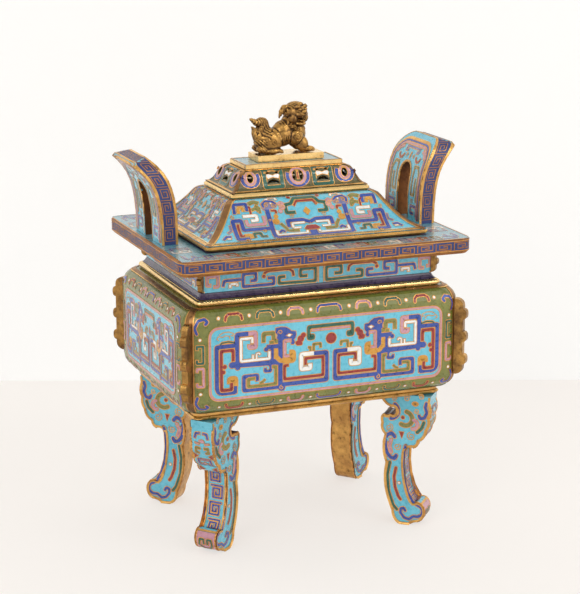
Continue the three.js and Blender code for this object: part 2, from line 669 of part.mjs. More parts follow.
function buildLidSkirt(group) {
  const lipTop = LID_Z + LID_LIP_HEIGHT;
  const lipFoot = LID_Z + LID_SHADOW_GAP;
  const lipRound = (lipTop - lipFoot) * 0.3;
  const seatX = MOUTH_HALF_X + LID_SEAT_WIDTH;
  const seatY = MOUTH_HALF_Y + LID_SEAT_WIDTH;
  const collarX = MOUTH_HALF_X - COLLAR_CLEARANCE;
  const collarY = MOUTH_HALF_Y - COLLAR_CLEARANCE;
  const collarRadius = NECK_CORNER_RADIUS - SEAT_GAP;
  const lipEdge = (inset, z) => ({
    x: LID_HALF_X - inset, y: LID_HALF_Y - inset, r: LID_CORNER_RADIUS - inset, z,
  });
  const lip = [
    { x: seatX, y: seatY, r: NECK_CORNER_RADIUS, z: LID_Z },
    { x: seatX + SEAT_GAP, y: seatY + SEAT_GAP, r: NECK_CORNER_RADIUS, z: lipFoot },
    lipEdge(lipRound, lipFoot),
    lipEdge(0, lipFoot + lipRound),
    lipEdge(0, lipTop - lipRound),
    lipEdge(lipRound, lipTop),
    { x: collarX + SEAT_GAP, y: collarY + SEAT_GAP, r: NECK_CORNER_RADIUS, z: lipTop },
    { x: collarX + SEAT_GAP, y: collarY + SEAT_GAP, r: NECK_CORNER_RADIUS, z: LID_Z },
  ];
  group.add(named('lid_lip', loft(lip, true, 4), GILT));

  const taper = COLLAR_WALL / 3;
  const collarFoot = RIM_TOP_Z - COLLAR_DEPTH;
  const innerX = collarX - COLLAR_WALL;
  const innerY = collarY - COLLAR_WALL;
  const collar = [
    { x: collarX - taper, y: collarY - taper, r: collarRadius - taper, z: collarFoot },
    { x: collarX, y: collarY, r: collarRadius, z: collarFoot + 2 * taper },
    { x: collarX, y: collarY, r: collarRadius, z: lipTop },
    { x: innerX, y: innerY, r: collarRadius / 2, z: lipTop },
    { x: innerX, y: innerY, r: collarRadius / 2, z: collarFoot },
  ];
  group.add(named('lid_collar', loft(collar, true, 3), GILT));

  const skirt = skirtFace();
  const innerRadius = WAIST_CORNER_RADIUS / 2;
  const drop = LID_WALL * 0.6;
  const throatX = LID_WAIST_HALF_X + WAIST_OVERHANG - WAIST_MOULDING_WIDTH;
  const throatY = LID_WAIST_HALF_Y + WAIST_OVERHANG - WAIST_MOULDING_WIDTH;
  const under = skirt.slice(1).map((s) => ({
    x: Math.max(s.x - LID_WALL, throatX),
    y: Math.max(s.y - LID_WALL, throatY),
    r: innerRadius,
    z: s.z - drop,
  })).filter((s) => s.z > SKIRT_Z + SEAT_GAP);
  const rows = [
    ...skirt,
    { x: throatX, y: throatY, r: innerRadius, z: SKIRT_Z + LID_SKIRT_HEIGHT },
    { x: throatX, y: throatY, r: innerRadius, z: SKIRT_Z + LID_SKIRT_HEIGHT - drop },
    ...under.slice(0, -1).reverse(),
    { x: innerX, y: innerY, r: innerRadius, z: SKIRT_Z },
  ];
  group.add(named('lid_skirt', loft(rows, true, 3), TURQUOISE_ENAMEL));
}

/** The gallery bulges at the top and flares at its foot, as the skirt does. */
function galleryOutline() {
  const depthX = LID_WAIST_HALF_X - LID_TOP_HALF_X;
  const depthY = LID_WAIST_HALF_Y - LID_TOP_HALF_Y;
  return mouldingRows(GALLERY_Z, GALLERY_HEIGHT, depthX, depthY, [
    [0, 0], [0.14, 0.06], [0.27, 0.19], [0.38, 0.42], [0.5, 0.7], [0.62, 0.88], [0.78, 0.97], [0.94, 1],
  ]);
}

/** The upper opening of a cross, drawn in shares of the gallery's height: two lobes, joined. */
function lobedHole() {
  const shape = new THREE.Shape();
  shape.moveTo(-0.4, 0);
  shape.quadraticCurveTo(-0.36, -0.13, -0.24, -0.1);
  shape.quadraticCurveTo(-0.17, 0.02, 0, 0.03);
  shape.quadraticCurveTo(0.17, 0.02, 0.24, -0.1);
  shape.quadraticCurveTo(0.36, -0.13, 0.4, 0);
  shape.quadraticCurveTo(0.34, 0.13, 0.16, 0.12);
  shape.lineTo(-0.16, 0.12);
  shape.quadraticCurveTo(-0.34, 0.13, -0.4, 0);
  return shape;
}

/** The lower opening of a cross: an arch with its ends turned down. */
function archedHole() {
  const shape = new THREE.Shape();
  shape.moveTo(-0.36, -0.11);
  shape.quadraticCurveTo(-0.16, -0.07, 0, -0.06);
  shape.quadraticCurveTo(0.16, -0.07, 0.36, -0.11);
  shape.quadraticCurveTo(0.24, 0.09, 0, 0.11);
  shape.quadraticCurveTo(-0.24, 0.09, -0.36, -0.11);
  return shape;
}

/**
 * Smoke holes, cut straight through the long walls and then through the short ones: pairs,
 * crosses with an opening above and below, and single ovals.
 */
function gallerySmokeHoles() {
  const unit = GALLERY_HEIGHT;
  const depth = 3 * LID_WAIST_HALF_X;
  const place = (cutter, x, share) => cutter.scale(unit, 1, unit).translate(x, 0, GALLERY_Z + unit * share);
  const oval = (x, halfWidth, halfHeight) => {
    const cutter = new THREE.CylinderGeometry(1, 1, depth, 12);
    return place(cutter.scale(halfWidth, 1, halfHeight), x, 0.63);
  };
  const cross = (x) => [
    place(slab(lobedHole(), depth, 3), x, 0.86),
    place(slab(archedHole(), depth, 3), x, 0.43),
  ];
  const front = [];
  for (const side of [-1, 1]) {
    front.push(oval(side * unit * 0.2, 0.09, 0.22));
    front.push(...cross(side * LID_WAIST_HALF_X * 0.36));
    front.push(oval(side * LID_WAIST_HALF_X * 0.69, 0.15, 0.22));
  }
  const end = [
    oval(-LID_WAIST_HALF_Y * 0.54, 0.127, 0.22),
    oval(LID_WAIST_HALF_Y * 0.54, 0.127, 0.22),
    ...cross(0),
  ];
  return [...front, ...end.map((hole) => hole.rotateZ(Math.PI / 2))];
}

function buildLidTop(group) {
  const depth = WAIST_MOULDING_DEPTH;
  const moulding = mouldingRows(WAIST_Z, WAIST_MOULDING_HEIGHT, depth, depth, [
    [0.9, 0], [0, 0.3], [0, 0.67], [1, 1],
  ]);
  const waistX = LID_WAIST_HALF_X + WAIST_OVERHANG;
  const waistY = LID_WAIST_HALF_Y + WAIST_OVERHANG;
  const waistRing = shellRing(waistX, waistY, WAIST_CORNER_RADIUS, moulding, WAIST_MOULDING_WIDTH);
  group.add(named('waist_moulding', waistRing, BRIGHT_GILT));

  let gallery = toSolid(shellRing(LID_WAIST_HALF_X - SEAT_GAP, LID_WAIST_HALF_Y - SEAT_GAP,
    WAIST_CORNER_RADIUS, galleryOutline(), GALLERY_WALL));
  for (const hole of gallerySmokeHoles()) gallery = gallery.subtract(toSolid(hole));
  group.add(named('gallery', toGeometry(gallery), OLIVE_ENAMEL));

  const high = LID_TOP_Z + LID_TOP_THICKNESS;
  const edge = (inset, z) => ({
    x: LID_TOP_HALF_X + LID_TOP_OVERHANG - inset,
    y: LID_TOP_HALF_Y + LID_TOP_OVERHANG - inset,
    r: LID_TOP_CORNER_RADIUS - inset,
    z,
  });
  const round = LID_TOP_THICKNESS * 0.2;
  const plate = toSolid(loft([
    edge(round, LID_TOP_Z),
    edge(0, LID_TOP_Z + round),
    edge(0, high - round),
    edge(round, high),
  ], false));
  const hole = toSolid(pillar(STUD_RADIUS + SEAT_GAP, LID_TOP_Z - 1, high + 1, STUD_X, 0));
  group.add(named('lid_top_plate', toGeometry(plate.subtract(hole)), TURQUOISE_ENAMEL));
}

// Finial

function buildFinial(group) {
  const plinthMiddle = PLINTH_Z + PLINTH_HEIGHT / 2;
  const plinth = toSolid(box(2 * PLINTH_HALF_X, 2 * PLINTH_HALF_Y, PLINTH_HEIGHT, 0, 0, plinthMiddle));
  const hole = toSolid(pillar(STUD_RADIUS + SEAT_GAP, PLINTH_Z - 1, LION_Z + 1, STUD_X, 0));
  group.add(named('finial_plinth', toGeometry(plinth.subtract(hole)), BRIGHT_GILT));

  const nutTop = LID_TOP_Z - SEAT_GAP - WASHER_THICKNESS - SEAT_GAP;
  const stud = pillar(STUD_RADIUS, nutTop - NUT_HEIGHT - STUD_END, LION_Z + STUD_INTO_LION, STUD_X, 0);
  group.add(named('finial_stud', stud, GILT));
  const bore = toSolid(pillar(STUD_RADIUS + SEAT_GAP, nutTop - NUT_HEIGHT - 1, LID_TOP_Z, STUD_X, 0));
  const washerTop = LID_TOP_Z - SEAT_GAP;
  const washer = toSolid(pillar(WASHER_RADIUS, washerTop - WASHER_THICKNESS, washerTop, STUD_X, 0, 20));
  group.add(named('finial_washer', toGeometry(washer.subtract(bore)), GILT));
  const nutRadius = NUT_ACROSS_FLATS / Math.sqrt(3);
  const nut = toSolid(pillar(nutRadius, nutTop - NUT_HEIGHT, nutTop, STUD_X, 0, 6));
  group.add(named('finial_nut', toGeometry(nut.subtract(bore)), GILT));

  group.add(named('lion', lionGeometry(), GILT));
}

/**
 * A ball stretched to three half sizes, leaned back about Y, then turned about Z, at a place
 * above the plinth. The lion is drawn 33 units high.
 */
function ball([x, y, z], [halfX, halfY, halfZ], lean = 0, turn = 0) {
  const isLarge = Math.max(halfX, halfY, halfZ) > 6;
  const geometry = new THREE.SphereGeometry(1, isLarge ? 12 : 8, isLarge ? 8 : 6);
  geometry.rotateX(Math.PI / 2).scale(halfX, halfY, halfZ).rotateY(lean).rotateZ(turn);
  const unit = LION_HEIGHT / 33;
  geometry.translate(x, y, z).scale(unit, unit, unit);
  return toSolid(geometry.translate(0, 0, LION_Z));
}

/** Paws, legs and shoulders, drawn on the near side and repeated on the far one. */
function lionLimbs() {
  const limbs = [];
  for (const side of [-1, 1]) {
    limbs.push(ball([-12.4, side * 5.6, 6.8], [7.6, 3.4, 6.6], -0.25)); // thigh
    limbs.push(ball([-4.6, side * 6.6, 1.9], [7.4, 2.4, 2.1])); // hind paw
    limbs.push(ball([8, side * 4.8, 12.4], [4.6, 3, 5.6], 0.2)); // shoulder
    limbs.push(ball([10.6, side * 4.9, 6.2], [2.6, 2.3, 6.6], -0.3)); // foreleg
    limbs.push(ball([15.2, side * 5, 1.8], [4.4, 2.5, 2])); // forepaw
  }
  return limbs;
}

/** The head looks over the near shoulder, with its mouth open. */
function lionHead() {
  const centre = new THREE.Vector3(6.6, -1, 24.6);
  const turn = THREE.MathUtils.degToRad(-LION_HEAD_TURN);
  const ahead = (out, up, across = 0) => [
    centre.x + out * Math.cos(turn) - across * Math.sin(turn),
    centre.y + out * Math.sin(turn) + across * Math.cos(turn),
    centre.z + up,
  ];
  const pieces = [
    ball([centre.x, centre.y, centre.z], [7.4, 7.6, 7.2]),
    ball([4.4, -0.4, 18.6], [7, 7.2, 6.8], 0.3), // mane
    ball(ahead(5, -0.4), [4.4, 4.6, 2.8], 0.1, turn), // upper jaw
    ball(ahead(4, -5), [4, 3.8, 1.8], 0.35, turn), // lower jaw
    ball(ahead(9, 1.2), [1.3, 1.9, 1.2], 0, turn), // nose
  ];
  for (const side of [-1, 1]) {
    pieces.push(ball(ahead(5.2, 3.6, side * 3), [2, 2.3, 1.5], -0.3, turn)); // brow
    pieces.push(ball(ahead(-0.6, 6.2, side * 4.6), [1.6, 1.9, 1.8], 0, turn)); // ear
    pieces.push(ball(ahead(-4.6, -1.6, side * 6.2), [1.9, 2, 4.6], 0.5, turn)); // mane lock
  }
  return pieces;
}

/** A couchant lion: haunches down, chest up on the forelegs, and a tail that curls over. */
function lionGeometry() {
  const pieces = [
    ball([-14, 0, 8.4], [9.2, 6.8, 7.6]), // haunches
    ball([-3, 0, 11.6], [12, 5.8, 5.2], -0.3), // back
    ball([6, 0, 13], [6.6, 6, 8.6], -0.1), // chest
    ball([-18.6, 0, 17.4], [4.8, 3.4, 7.4]), // tail
    ball([-18.2, 0, 20.6], [5.4, 3.2, 3.6]),
    ball([-22.8, 0, 22.6], [3.4, 1.9, 1.7], 0.5),
    ...lionLimbs(),
    ...lionHead(),
  ];
  let lion = pieces[0];
  for (const piece of pieces.slice(1)) lion = lion.add(piece);
  const floor = toSolid(box(6 * PLINTH_HALF_X, 6 * PLINTH_HALF_X, PLINTH_HALF_X, 0, 0,
    LION_Z - PLINTH_HALF_X / 2));
  const bore = toSolid(pillar(STUD_RADIUS + SEAT_GAP, LION_Z - 1, LION_Z + STUD_INTO_LION + 1, STUD_X, 0));
  return toGeometry(lion.subtract(floor).subtract(bore));
}

const burner = new THREE.Group();
buildLegs(burner);
buildBase(burner);
buildBody(burner);
buildFlanges(burner);
buildRim(burner);
buildHandles(burner);
buildLidSkirt(burner);
buildLidTop(burner);
buildFinial(burner);

export default burner;
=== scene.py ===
"""Dresses the enamelled censer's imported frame: cells of enamel between gilt wires, gilding, lion and studio.

All sizes are in millimetres until a point is handed to Blender. Each decorated face of the vessel and lid is
a Face, which turns a place on the unrolled face into a point on the CAD node's own surface, and CellWork lays
the wires and cells over it.
"""
import logging
import math
from dataclasses import dataclass, field
from enum import Enum
from functools import cache
from typing import Callable, Iterable

import bmesh
import bpy
from mathutils import Matrix, Vector
from mathutils.bvhtree import BVHTree
from mathutils.geometry import tessellate_polygon


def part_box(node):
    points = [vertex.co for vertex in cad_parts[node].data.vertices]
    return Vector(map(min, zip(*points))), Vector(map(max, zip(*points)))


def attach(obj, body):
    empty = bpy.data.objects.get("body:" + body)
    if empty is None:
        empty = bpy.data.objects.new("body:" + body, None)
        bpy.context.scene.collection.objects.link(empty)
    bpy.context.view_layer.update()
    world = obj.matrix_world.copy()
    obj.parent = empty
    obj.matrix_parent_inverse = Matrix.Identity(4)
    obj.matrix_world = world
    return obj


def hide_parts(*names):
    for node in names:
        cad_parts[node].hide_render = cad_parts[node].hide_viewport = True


log = logging.getLogger("censer")

MM = 0.001
UP = Vector((0, 0, 1))
Point = tuple[float, float]
Path = list[Point]
Spot = tuple[float, float, float]
Box = tuple[float, float, float, float]
Socket = bpy.types.NodeSocket
Value = Socket | float | tuple[float, ...]


# Finishes

class Finish(Enum):
    """The named finishes of the censer's enamels and gilding."""

    TURQUOISE = "turquoise"
    COBALT = "cobalt"
    LILAC = "lilac"
    PINK = "pink"
    RED = "iron_red"
    LEAF = "leaf_green"
    OLIVE = "olive"
    MOSS = "moss_ground"
    OCHRE = "ochre"
    WHITE = "white"
    AUBERGINE = "aubergine"
    WIRE = "wire"
    GILT = "gilt"
    BRIGHT = "bright_gilt"
    BROWN = "brown_gilt"
    ANTIQUE = "antique_gilt"
    COPPER = "copper"
    UMBER = "umber_enamel"
    TEAL = "teal_enamel"
    NAVY = "navy_enamel"
    RUSSET = "russet_gilt"


@dataclass(frozen=True)
class EnamelFinish:
    """A fired and polished enamel: two depths of colour, mottling and pits."""

    deep: Spot
    light: Spot
    mottle: float = 330.0
    pits: float = 0.35
    roughness: float = 0.27
    coat: float = 0.5
    coat_roughness: float = 0.12
    bump: float = 0.25
    bump_depth: float = 0.0004

    def build(self, name: str) -> bpy.types.Material:
        """Makes the material.

        Args:
            name: The material's name.

        Returns:
            The enamel material.
        """
        material, nodes, links, shader = blank_material(name)
        effect = place_effect(nodes, enamel_group(), {
            "Deep": (*self.deep, 1), "Light": (*self.light, 1), "Mottle Scale": self.mottle,
            "Pits": self.pits, "Gloss": self.roughness,
        })
        shader.inputs["Coat Weight"].default_value = self.coat
        shader.inputs["Coat Roughness"].default_value = self.coat_roughness
        join_effect(nodes, links, effect, shader, self.bump, self.bump_depth)
        return material


@dataclass(frozen=True)
class GildingFinish:
    """Fire gilding on copper: bright where it is worn, brown where it has toned, with painted top light and
    shade by the way it faces, and painted shade in recesses when asked.
    """

    bright: Spot
    toned: Spot
    wear: float = 0.5
    roughness: float = 0.34
    grain: float = 260.0
    # Whether the mesh's stored hollowness darkens the recesses, as painted shade.
    cast: bool = False
    bump: float = 0.35
    bump_depth: float = 0.0005

    def build(self, name: str) -> bpy.types.Material:
        """Makes the material.

        Args:
            name: The material's name.

        Returns:
            The gilding material.
        """
        material, nodes, links, shader = blank_material(name)
        effect = place_effect(nodes, gilding_group(), {
            "Bright": (*self.bright, 1), "Toned": (*self.toned, 1), "Wear": self.wear,
            "Grain": self.grain, "Gloss": self.roughness,
        })
        # Painted shade: the mesh's stored hollowness darkens its recesses.
        if self.cast:
            hollow = nodes.new("ShaderNodeAttribute")
            hollow.attribute_name = "hollow"
            links.new(hollow.outputs["Fac"], effect.inputs["Hollow"])
        join_effect(nodes, links, effect, shader, self.bump, self.bump_depth)
        return material


FINISHES: dict[Finish, EnamelFinish | GildingFinish] = {
    Finish.TURQUOISE: EnamelFinish((0.088, 0.42, 0.56), (0.155, 0.54, 0.69)),
    Finish.NAVY: EnamelFinish((0.013, 0.028, 0.125), (0.028, 0.052, 0.200), roughness=0.34, coat=0.12),
    Finish.TEAL: EnamelFinish((0.10, 0.27, 0.33), (0.19, 0.39, 0.45)),
    Finish.COBALT: EnamelFinish((0.012, 0.040, 0.25), (0.028, 0.085, 0.38)),
    Finish.LILAC: EnamelFinish((0.12, 0.12, 0.24), (0.20, 0.20, 0.37)),
    Finish.PINK: EnamelFinish((0.44, 0.20, 0.26), (0.60, 0.31, 0.37)),
    Finish.RED: EnamelFinish((0.20, 0.009, 0.010), (0.33, 0.018, 0.018)),
    Finish.LEAF: EnamelFinish((0.006, 0.075, 0.048), (0.014, 0.125, 0.08)),
    Finish.OLIVE: EnamelFinish((0.15, 0.145, 0.025), (0.25, 0.225, 0.05)),
    Finish.MOSS: EnamelFinish((0.115, 0.13, 0.018), (0.20, 0.205, 0.034), pits=0.7),
    Finish.UMBER: EnamelFinish((0.072, 0.062, 0.017), (0.125, 0.104, 0.03), pits=0.6, coat=0.2),
    Finish.OCHRE: EnamelFinish((0.48, 0.21, 0.018), (0.66, 0.33, 0.04)),
    Finish.WHITE: EnamelFinish((0.72, 0.72, 0.68), (0.88, 0.88, 0.85)),
    Finish.AUBERGINE: EnamelFinish((0.030, 0.018, 0.045), (0.09, 0.062, 0.12)),
    Finish.WIRE: GildingFinish((0.84, 0.44, 0.13), (0.52, 0.23, 0.06), 0.5, 0.36, 500.0),
    Finish.GILT: GildingFinish((0.84, 0.48, 0.14), (0.34, 0.155, 0.045), 0.55, 0.32),
    Finish.BRIGHT: GildingFinish((0.95, 0.66, 0.27), (0.60, 0.33, 0.10), 0.66, 0.22),
    Finish.BROWN: GildingFinish((0.42, 0.21, 0.075), (0.15, 0.08, 0.035), 0.45, 0.4),
    # The lion's gilding, with painted shade darkening its recesses.
    Finish.ANTIQUE: GildingFinish((0.76, 0.42, 0.11), (0.13, 0.06, 0.02), 0.38, 0.24, cast=True),
    # A darker gilt, used only on the handles' slot walls: brown gilding with painted shade.
    Finish.RUSSET: GildingFinish((0.26, 0.105, 0.035), (0.085, 0.032, 0.012), 0.5, 0.4),
    Finish.COPPER: GildingFinish((0.55, 0.25, 0.07), (0.30, 0.12, 0.035), 0.5, 0.42),
}


def blank_material(name: str) -> tuple[bpy.types.Material, bpy.types.Nodes, bpy.types.NodeLinks,
                                       bpy.types.ShaderNode]:
    """Starts a material.

    Args:
        name: The material's name.

    Returns:
        The material, its nodes, its links and its Principled shader.
    """
    material = bpy.data.materials.new(name)
    material.use_nodes = True
    nodes, links = material.node_tree.nodes, material.node_tree.links
    return material, nodes, links, nodes["Principled BSDF"]


def place_effect(nodes: bpy.types.Nodes, tree: bpy.types.ShaderNodeTree,
                 values: dict[str, float | tuple[float, ...]]) -> bpy.types.ShaderNode:
    """Places a shared effect in a material.

    Args:
        nodes: The material's nodes.
        tree: The effect's node group.
        values: Its inputs' values by name.

    Returns:
        The group node.
    """
    effect = nodes.new("ShaderNodeGroup")
    effect.node_tree = tree
    for label, value in values.items():
        effect.inputs[label].default_value = value
    return effect


def join_effect(nodes: bpy.types.Nodes, links: bpy.types.NodeLinks, effect: bpy.types.ShaderNode,
                shader: bpy.types.ShaderNode, strength: float, depth: float) -> None:
    """Feeds an effect's colour, roughness and metal to the shader, and its height through a bump.

    Args:
        nodes: The material's nodes.
        links: The material's links.
        effect: The effect's group node.
        shader: The Principled shader.
        strength: The bump's strength.
        depth: The bump's depth in metres.
    """
    for output in effect.outputs:
        if output.name != "Height":
            links.new(output, shader.inputs["Base Color" if output.name == "Color" else output.name])
    bump = nodes.new("ShaderNodeBump")
    bump.inputs["Strength"].default_value = strength
    bump.inputs["Distance"].default_value = depth
    links.new(effect.outputs["Height"], bump.inputs["Height"])
    links.new(bump.outputs["Normal"], shader.inputs["Normal"])


class GroupBuilder:
    """Wires up one shader node group."""

    def __init__(self, name: str, inputs: dict[str, str], outputs: dict[str, str]) -> None:
        """Starts the group.

        Args:
            name: The group's name.
            inputs: Socket type by name.
            outputs: Socket type by name.
        """
        self.tree = bpy.data.node_groups.new(name, "ShaderNodeTree")
        for label, kind in inputs.items():
            self.tree.interface.new_socket(label, in_out="INPUT", socket_type=kind)
        for label, kind in outputs.items():
            self.tree.interface.new_socket(label, in_out="OUTPUT", socket_type=kind)
        self.inside = self.tree.nodes.new("NodeGroupInput")
        self.outside = self.tree.nodes.new("NodeGroupOutput")
        self.place = self.tree.nodes.new("ShaderNodeTexCoord").outputs["Object"]

    def link(self, source: Socket, target: Socket) -> None:
        """Joins two sockets."""
        self.tree.links.new(source, target)

    def set(self, socket: Socket, value: Value) -> None:
        """Puts a number, a colour or another socket on a socket.

        Args:
            socket: The socket.
            value: The number, colour or other socket.
        """
        if isinstance(value, bpy.types.NodeSocket):
            self.link(value, socket)
        else:
            socket.default_value = value

    def noise(self, scale: Value, detail: float = 3.0, roughness: float = 0.55) -> Socket:
        """Adds a noise over the object's own coordinates.

        Args:
            scale: How fine it is.
            detail: How many finer layers it has.
            roughness: How strong those are.

        Returns:
            Its value.
        """
        node = self.tree.nodes.new("ShaderNodeTexNoise")
        self.link(self.place, node.inputs["Vector"])
        self.set(node.inputs["Scale"], scale)
        node.inputs["Detail"].default_value = detail
        node.inputs["Roughness"].default_value = roughness
        return node.outputs["Fac"]

    def cells(self, scale: Value) -> Socket:
        """Adds a pattern of cells over the object's own coordinates.

        Args:
            scale: How fine it is.

        Returns:
            The distance to the nearest cell's middle.
        """
        node = self.tree.nodes.new("ShaderNodeTexVoronoi")
        self.link(self.place, node.inputs["Vector"])
        self.set(node.inputs["Scale"], scale)
        return node.outputs["Distance"]

    def spread(self, value: Socket, low: float, high: float, first: float = 0.0, last: float = 1.0) -> Socket:
        """Maps a range to another, clamped.

        Args:
            value: The value.
            low: The range's low end.
            high: Its high end.
            first: What the low end becomes.
            last: What the high end becomes.

        Returns:
            The mapped value.
        """
        node = self.tree.nodes.new("ShaderNodeMapRange")
        self.set(node.inputs["Value"], value)
        for label, number in (("From Min", low), ("From Max", high), ("To Min", first), ("To Max", last)):
            node.inputs[label].default_value = number
        return node.outputs["Result"]

    def math(self, operation: str, a: Value, b: Value = 0.0) -> Socket:
        """Adds a calculation on two values.

        Args:
            operation: Which calculation.
            a: The first value.
            b: The second value.

        Returns:
            The result.
        """
        node = self.tree.nodes.new("ShaderNodeMath")
        node.operation = operation
        self.set(node.inputs[0], a)
        self.set(node.inputs[1], b)
        return node.outputs[0]

    def mix(self, factor: Value, a: Value, b: Value) -> Socket:
        """Mixes two colours.

        Args:
            factor: The second colour's share.
            a: The first colour.
            b: The second colour.

        Returns:
            The mixed colour.
        """
        node = self.tree.nodes.new("ShaderNodeMix")
        node.data_type = "RGBA"
        self.set(node.inputs["Factor"], factor)
        self.set(node.inputs["A"], a)
        self.set(node.inputs["B"], b)
        return node.outputs["Result"]

    def put(self, label: str, value: Socket) -> None:
        """Joins a value to one of the group's outputs."""
        self.link(value, self.outside.inputs[label])


COLOUR, NUMBER = "NodeSocketColor", "NodeSocketFloat"


@cache
def enamel_group() -> bpy.types.ShaderNodeTree:
    """Builds the enamel effect once.

    Returns:
        The group: mottled colour, polish and the slight waviness of a stoned surface with its pits.
    """
    group = GroupBuilder(
        "enamel_depth",
        {"Deep": COLOUR, "Light": COLOUR, "Mottle Scale": NUMBER, "Pits": NUMBER, "Gloss": NUMBER},
        {"Color": COLOUR, "Roughness": NUMBER, "Height": NUMBER},
    )
    inside = group.inside.outputs
    cloud = group.noise(inside["Mottle Scale"], 4.0, 0.6)
    drift = group.noise(45.0, 2.0)
    depth = group.spread(group.math("ADD", cloud, drift), 0.75, 1.25)
    body = group.mix(depth, inside["Deep"], inside["Light"])
    holes = group.spread(group.cells(800.0), 0.04, 0.10, 1.0, 0.0)
    holes = group.math("MULTIPLY", holes, group.spread(group.noise(160.0, 2.0), 0.56, 0.62))
    holes = group.math("MULTIPLY", holes, inside["Pits"])
    group.put("Color", group.mix(holes, body, (0.045, 0.03, 0.02, 1)))
    group.put("Roughness", group.math("ADD", inside["Gloss"], group.spread(cloud, 0.3, 0.7, -0.05, 0.12)))
    wave = group.math("MULTIPLY", group.noise(110.0, 2.0), 0.7)
    group.put("Height", group.math("SUBTRACT", wave, holes))
    return group.tree


@cache
def gilding_group() -> bpy.types.ShaderNodeTree:
    """Builds the gilding effect once.

    Returns:
        The group: worn, toned gilding with painted top light and shade by the way it faces, painted shade in
            recesses, and fine scratches.
    """
    group = GroupBuilder(
        "gilding_wear_and_painted_light",
        {"Bright": COLOUR, "Toned": COLOUR, "Wear": NUMBER, "Grain": NUMBER, "Gloss": NUMBER,
         "Hollow": NUMBER},
        {"Color": COLOUR, "Roughness": NUMBER, "Metallic": NUMBER, "Height": NUMBER},
    )
    inside = group.inside.outputs
    patches = group.noise(70.0, 4.0, 0.65)
    fine = group.noise(inside["Grain"], 4.0, 0.7)
    top_light_normal = group.tree.nodes.new("ShaderNodeNewGeometry")
    split = group.tree.nodes.new("ShaderNodeSeparateXYZ")
    group.link(top_light_normal.outputs["Normal"], split.inputs[0])
    # Painted top light and shade: gilding that faces up is made brighter, and gilding that faces down browner.
    lift = group.spread(split.outputs["Z"], -1.0, 1.0, -0.22, 0.22)
    wear_and_top_light = group.math("ADD", group.math("ADD", patches, group.math("MULTIPLY", fine, 0.6)), lift)
    wear_and_top_light = group.math("ADD", wear_and_top_light, inside["Wear"])
    wear_and_top_light = group.spread(wear_and_top_light, 1.0, 1.6)
    base = group.mix(wear_and_top_light, inside["Toned"], inside["Bright"])
    spots = group.spread(fine, 0.30, 0.42, 0.55, 0.0)
    # The gilding's own fine dark spots, and painted shade in the recesses from the stored hollowness.
    spots_and_recess_shade = group.math("MAXIMUM", spots, group.spread(inside["Hollow"], 0.32, 0.54, 0.0, 0.96))
    group.put("Color", group.mix(spots_and_recess_shade, base, (0.055, 0.028, 0.012, 1)))
    group.put("Roughness", group.math("ADD", inside["Gloss"], group.spread(wear_and_top_light, 0.0, 1.0, 0.16, -0.05)))
    group.put("Metallic", group.spread(wear_and_top_light, 0.0, 1.0, 0.75, 0.95))
    group.put("Height", group.math("ADD", fine, group.math("MULTIPLY", patches, 0.5)))
    return group.tree


@cache
def material_of(finish: Finish) -> bpy.types.Material:
    """Gives a finish's material, made the first time it is asked for."""
    return FINISHES[finish].build(finish.value)


def add_object(name: str, data: bpy.types.ID) -> bpy.types.Object:
    """Puts a mesh, camera or lamp in the scene.

    Args:
        name: The object's name.
        data: The mesh, camera or lamp.

    Returns:
        The object.
    """
    item = bpy.data.objects.new(name, data)
    bpy.context.collection.objects.link(item)
    return item


def make_mesh(name: str, points: Iterable[Vector], faces: list[tuple[int, ...]]) -> bpy.types.Mesh:
    """Makes a mesh from its points in metres and its faces.

    Args:
        name: The mesh's name.
        points: Its points in metres.
        faces: Its faces, by the points' numbers.

    Returns:
        The mesh.
    """
    mesh = bpy.data.meshes.new(name)
    mesh.from_pydata([tuple(p) for p in points], [], faces)
    return mesh


# Frame

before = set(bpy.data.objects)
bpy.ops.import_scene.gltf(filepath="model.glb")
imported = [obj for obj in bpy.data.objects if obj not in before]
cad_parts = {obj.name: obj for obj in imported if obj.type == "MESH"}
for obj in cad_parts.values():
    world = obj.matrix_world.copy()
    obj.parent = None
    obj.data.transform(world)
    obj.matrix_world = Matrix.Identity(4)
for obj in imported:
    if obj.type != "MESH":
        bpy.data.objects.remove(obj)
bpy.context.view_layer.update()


@cache
def tree_of(node: str) -> BVHTree:
    """Gives a ray-casting tree of a CAD node's surface.

    Args:
        node: The node's name.

    Returns:
        The tree.
    """
    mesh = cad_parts[node].data
    return BVHTree.FromPolygons([v.co.copy() for v in mesh.vertices],
                                [tuple(p.vertices) for p in mesh.polygons])


def dress_node(node: str, finish: Finish) -> None:
    """Gives a CAD node a finish.

    Args:
        node: The node's name.
        finish: Its finish.
    """
    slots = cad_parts[node].material_slots
    if not slots:
        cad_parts[node].data.materials.append(material_of(finish))
        return
    for slot in slots:
        slot.material = material_of(finish)


# Faces

class Side(Enum):
    """The four sides of the censer, by the direction that each looks out."""

    FRONT = (0, -1)
    RIGHT = (1, 0)
    BACK = (0, 1)
    LEFT = (-1, 0)

    @property
    def out(self) -> Vector:
        """The direction out of the side."""
        return Vector((*self.value, 0))

    @property
    def right(self) -> Vector:
        """The direction to the right of someone who faces the side."""
        return Vector((-self.value[1], self.value[0], 0))

    @property
    def long(self) -> bool:
        """Whether this is a long side."""
        return self.value[0] == 0

    def spans(self, long: float, short: float) -> tuple[float, float]:
        """Gives half this side's length and how far out it stands, from half the long and the short side."""
        return (long, short) if self.long else (short, long)

    def plane(self, node: str, depth: float) -> "Face":
        """Gives this side's upright plane at a distance from the middle."""
        return Face(node, self.out * depth, self.right, UP, self.out)

    def level(self, node: str, height: float) -> "Face":
        """Gives a level plane at a height, on which v runs out of this side."""
        return Face(node, UP * height, self.right, self.out, UP)


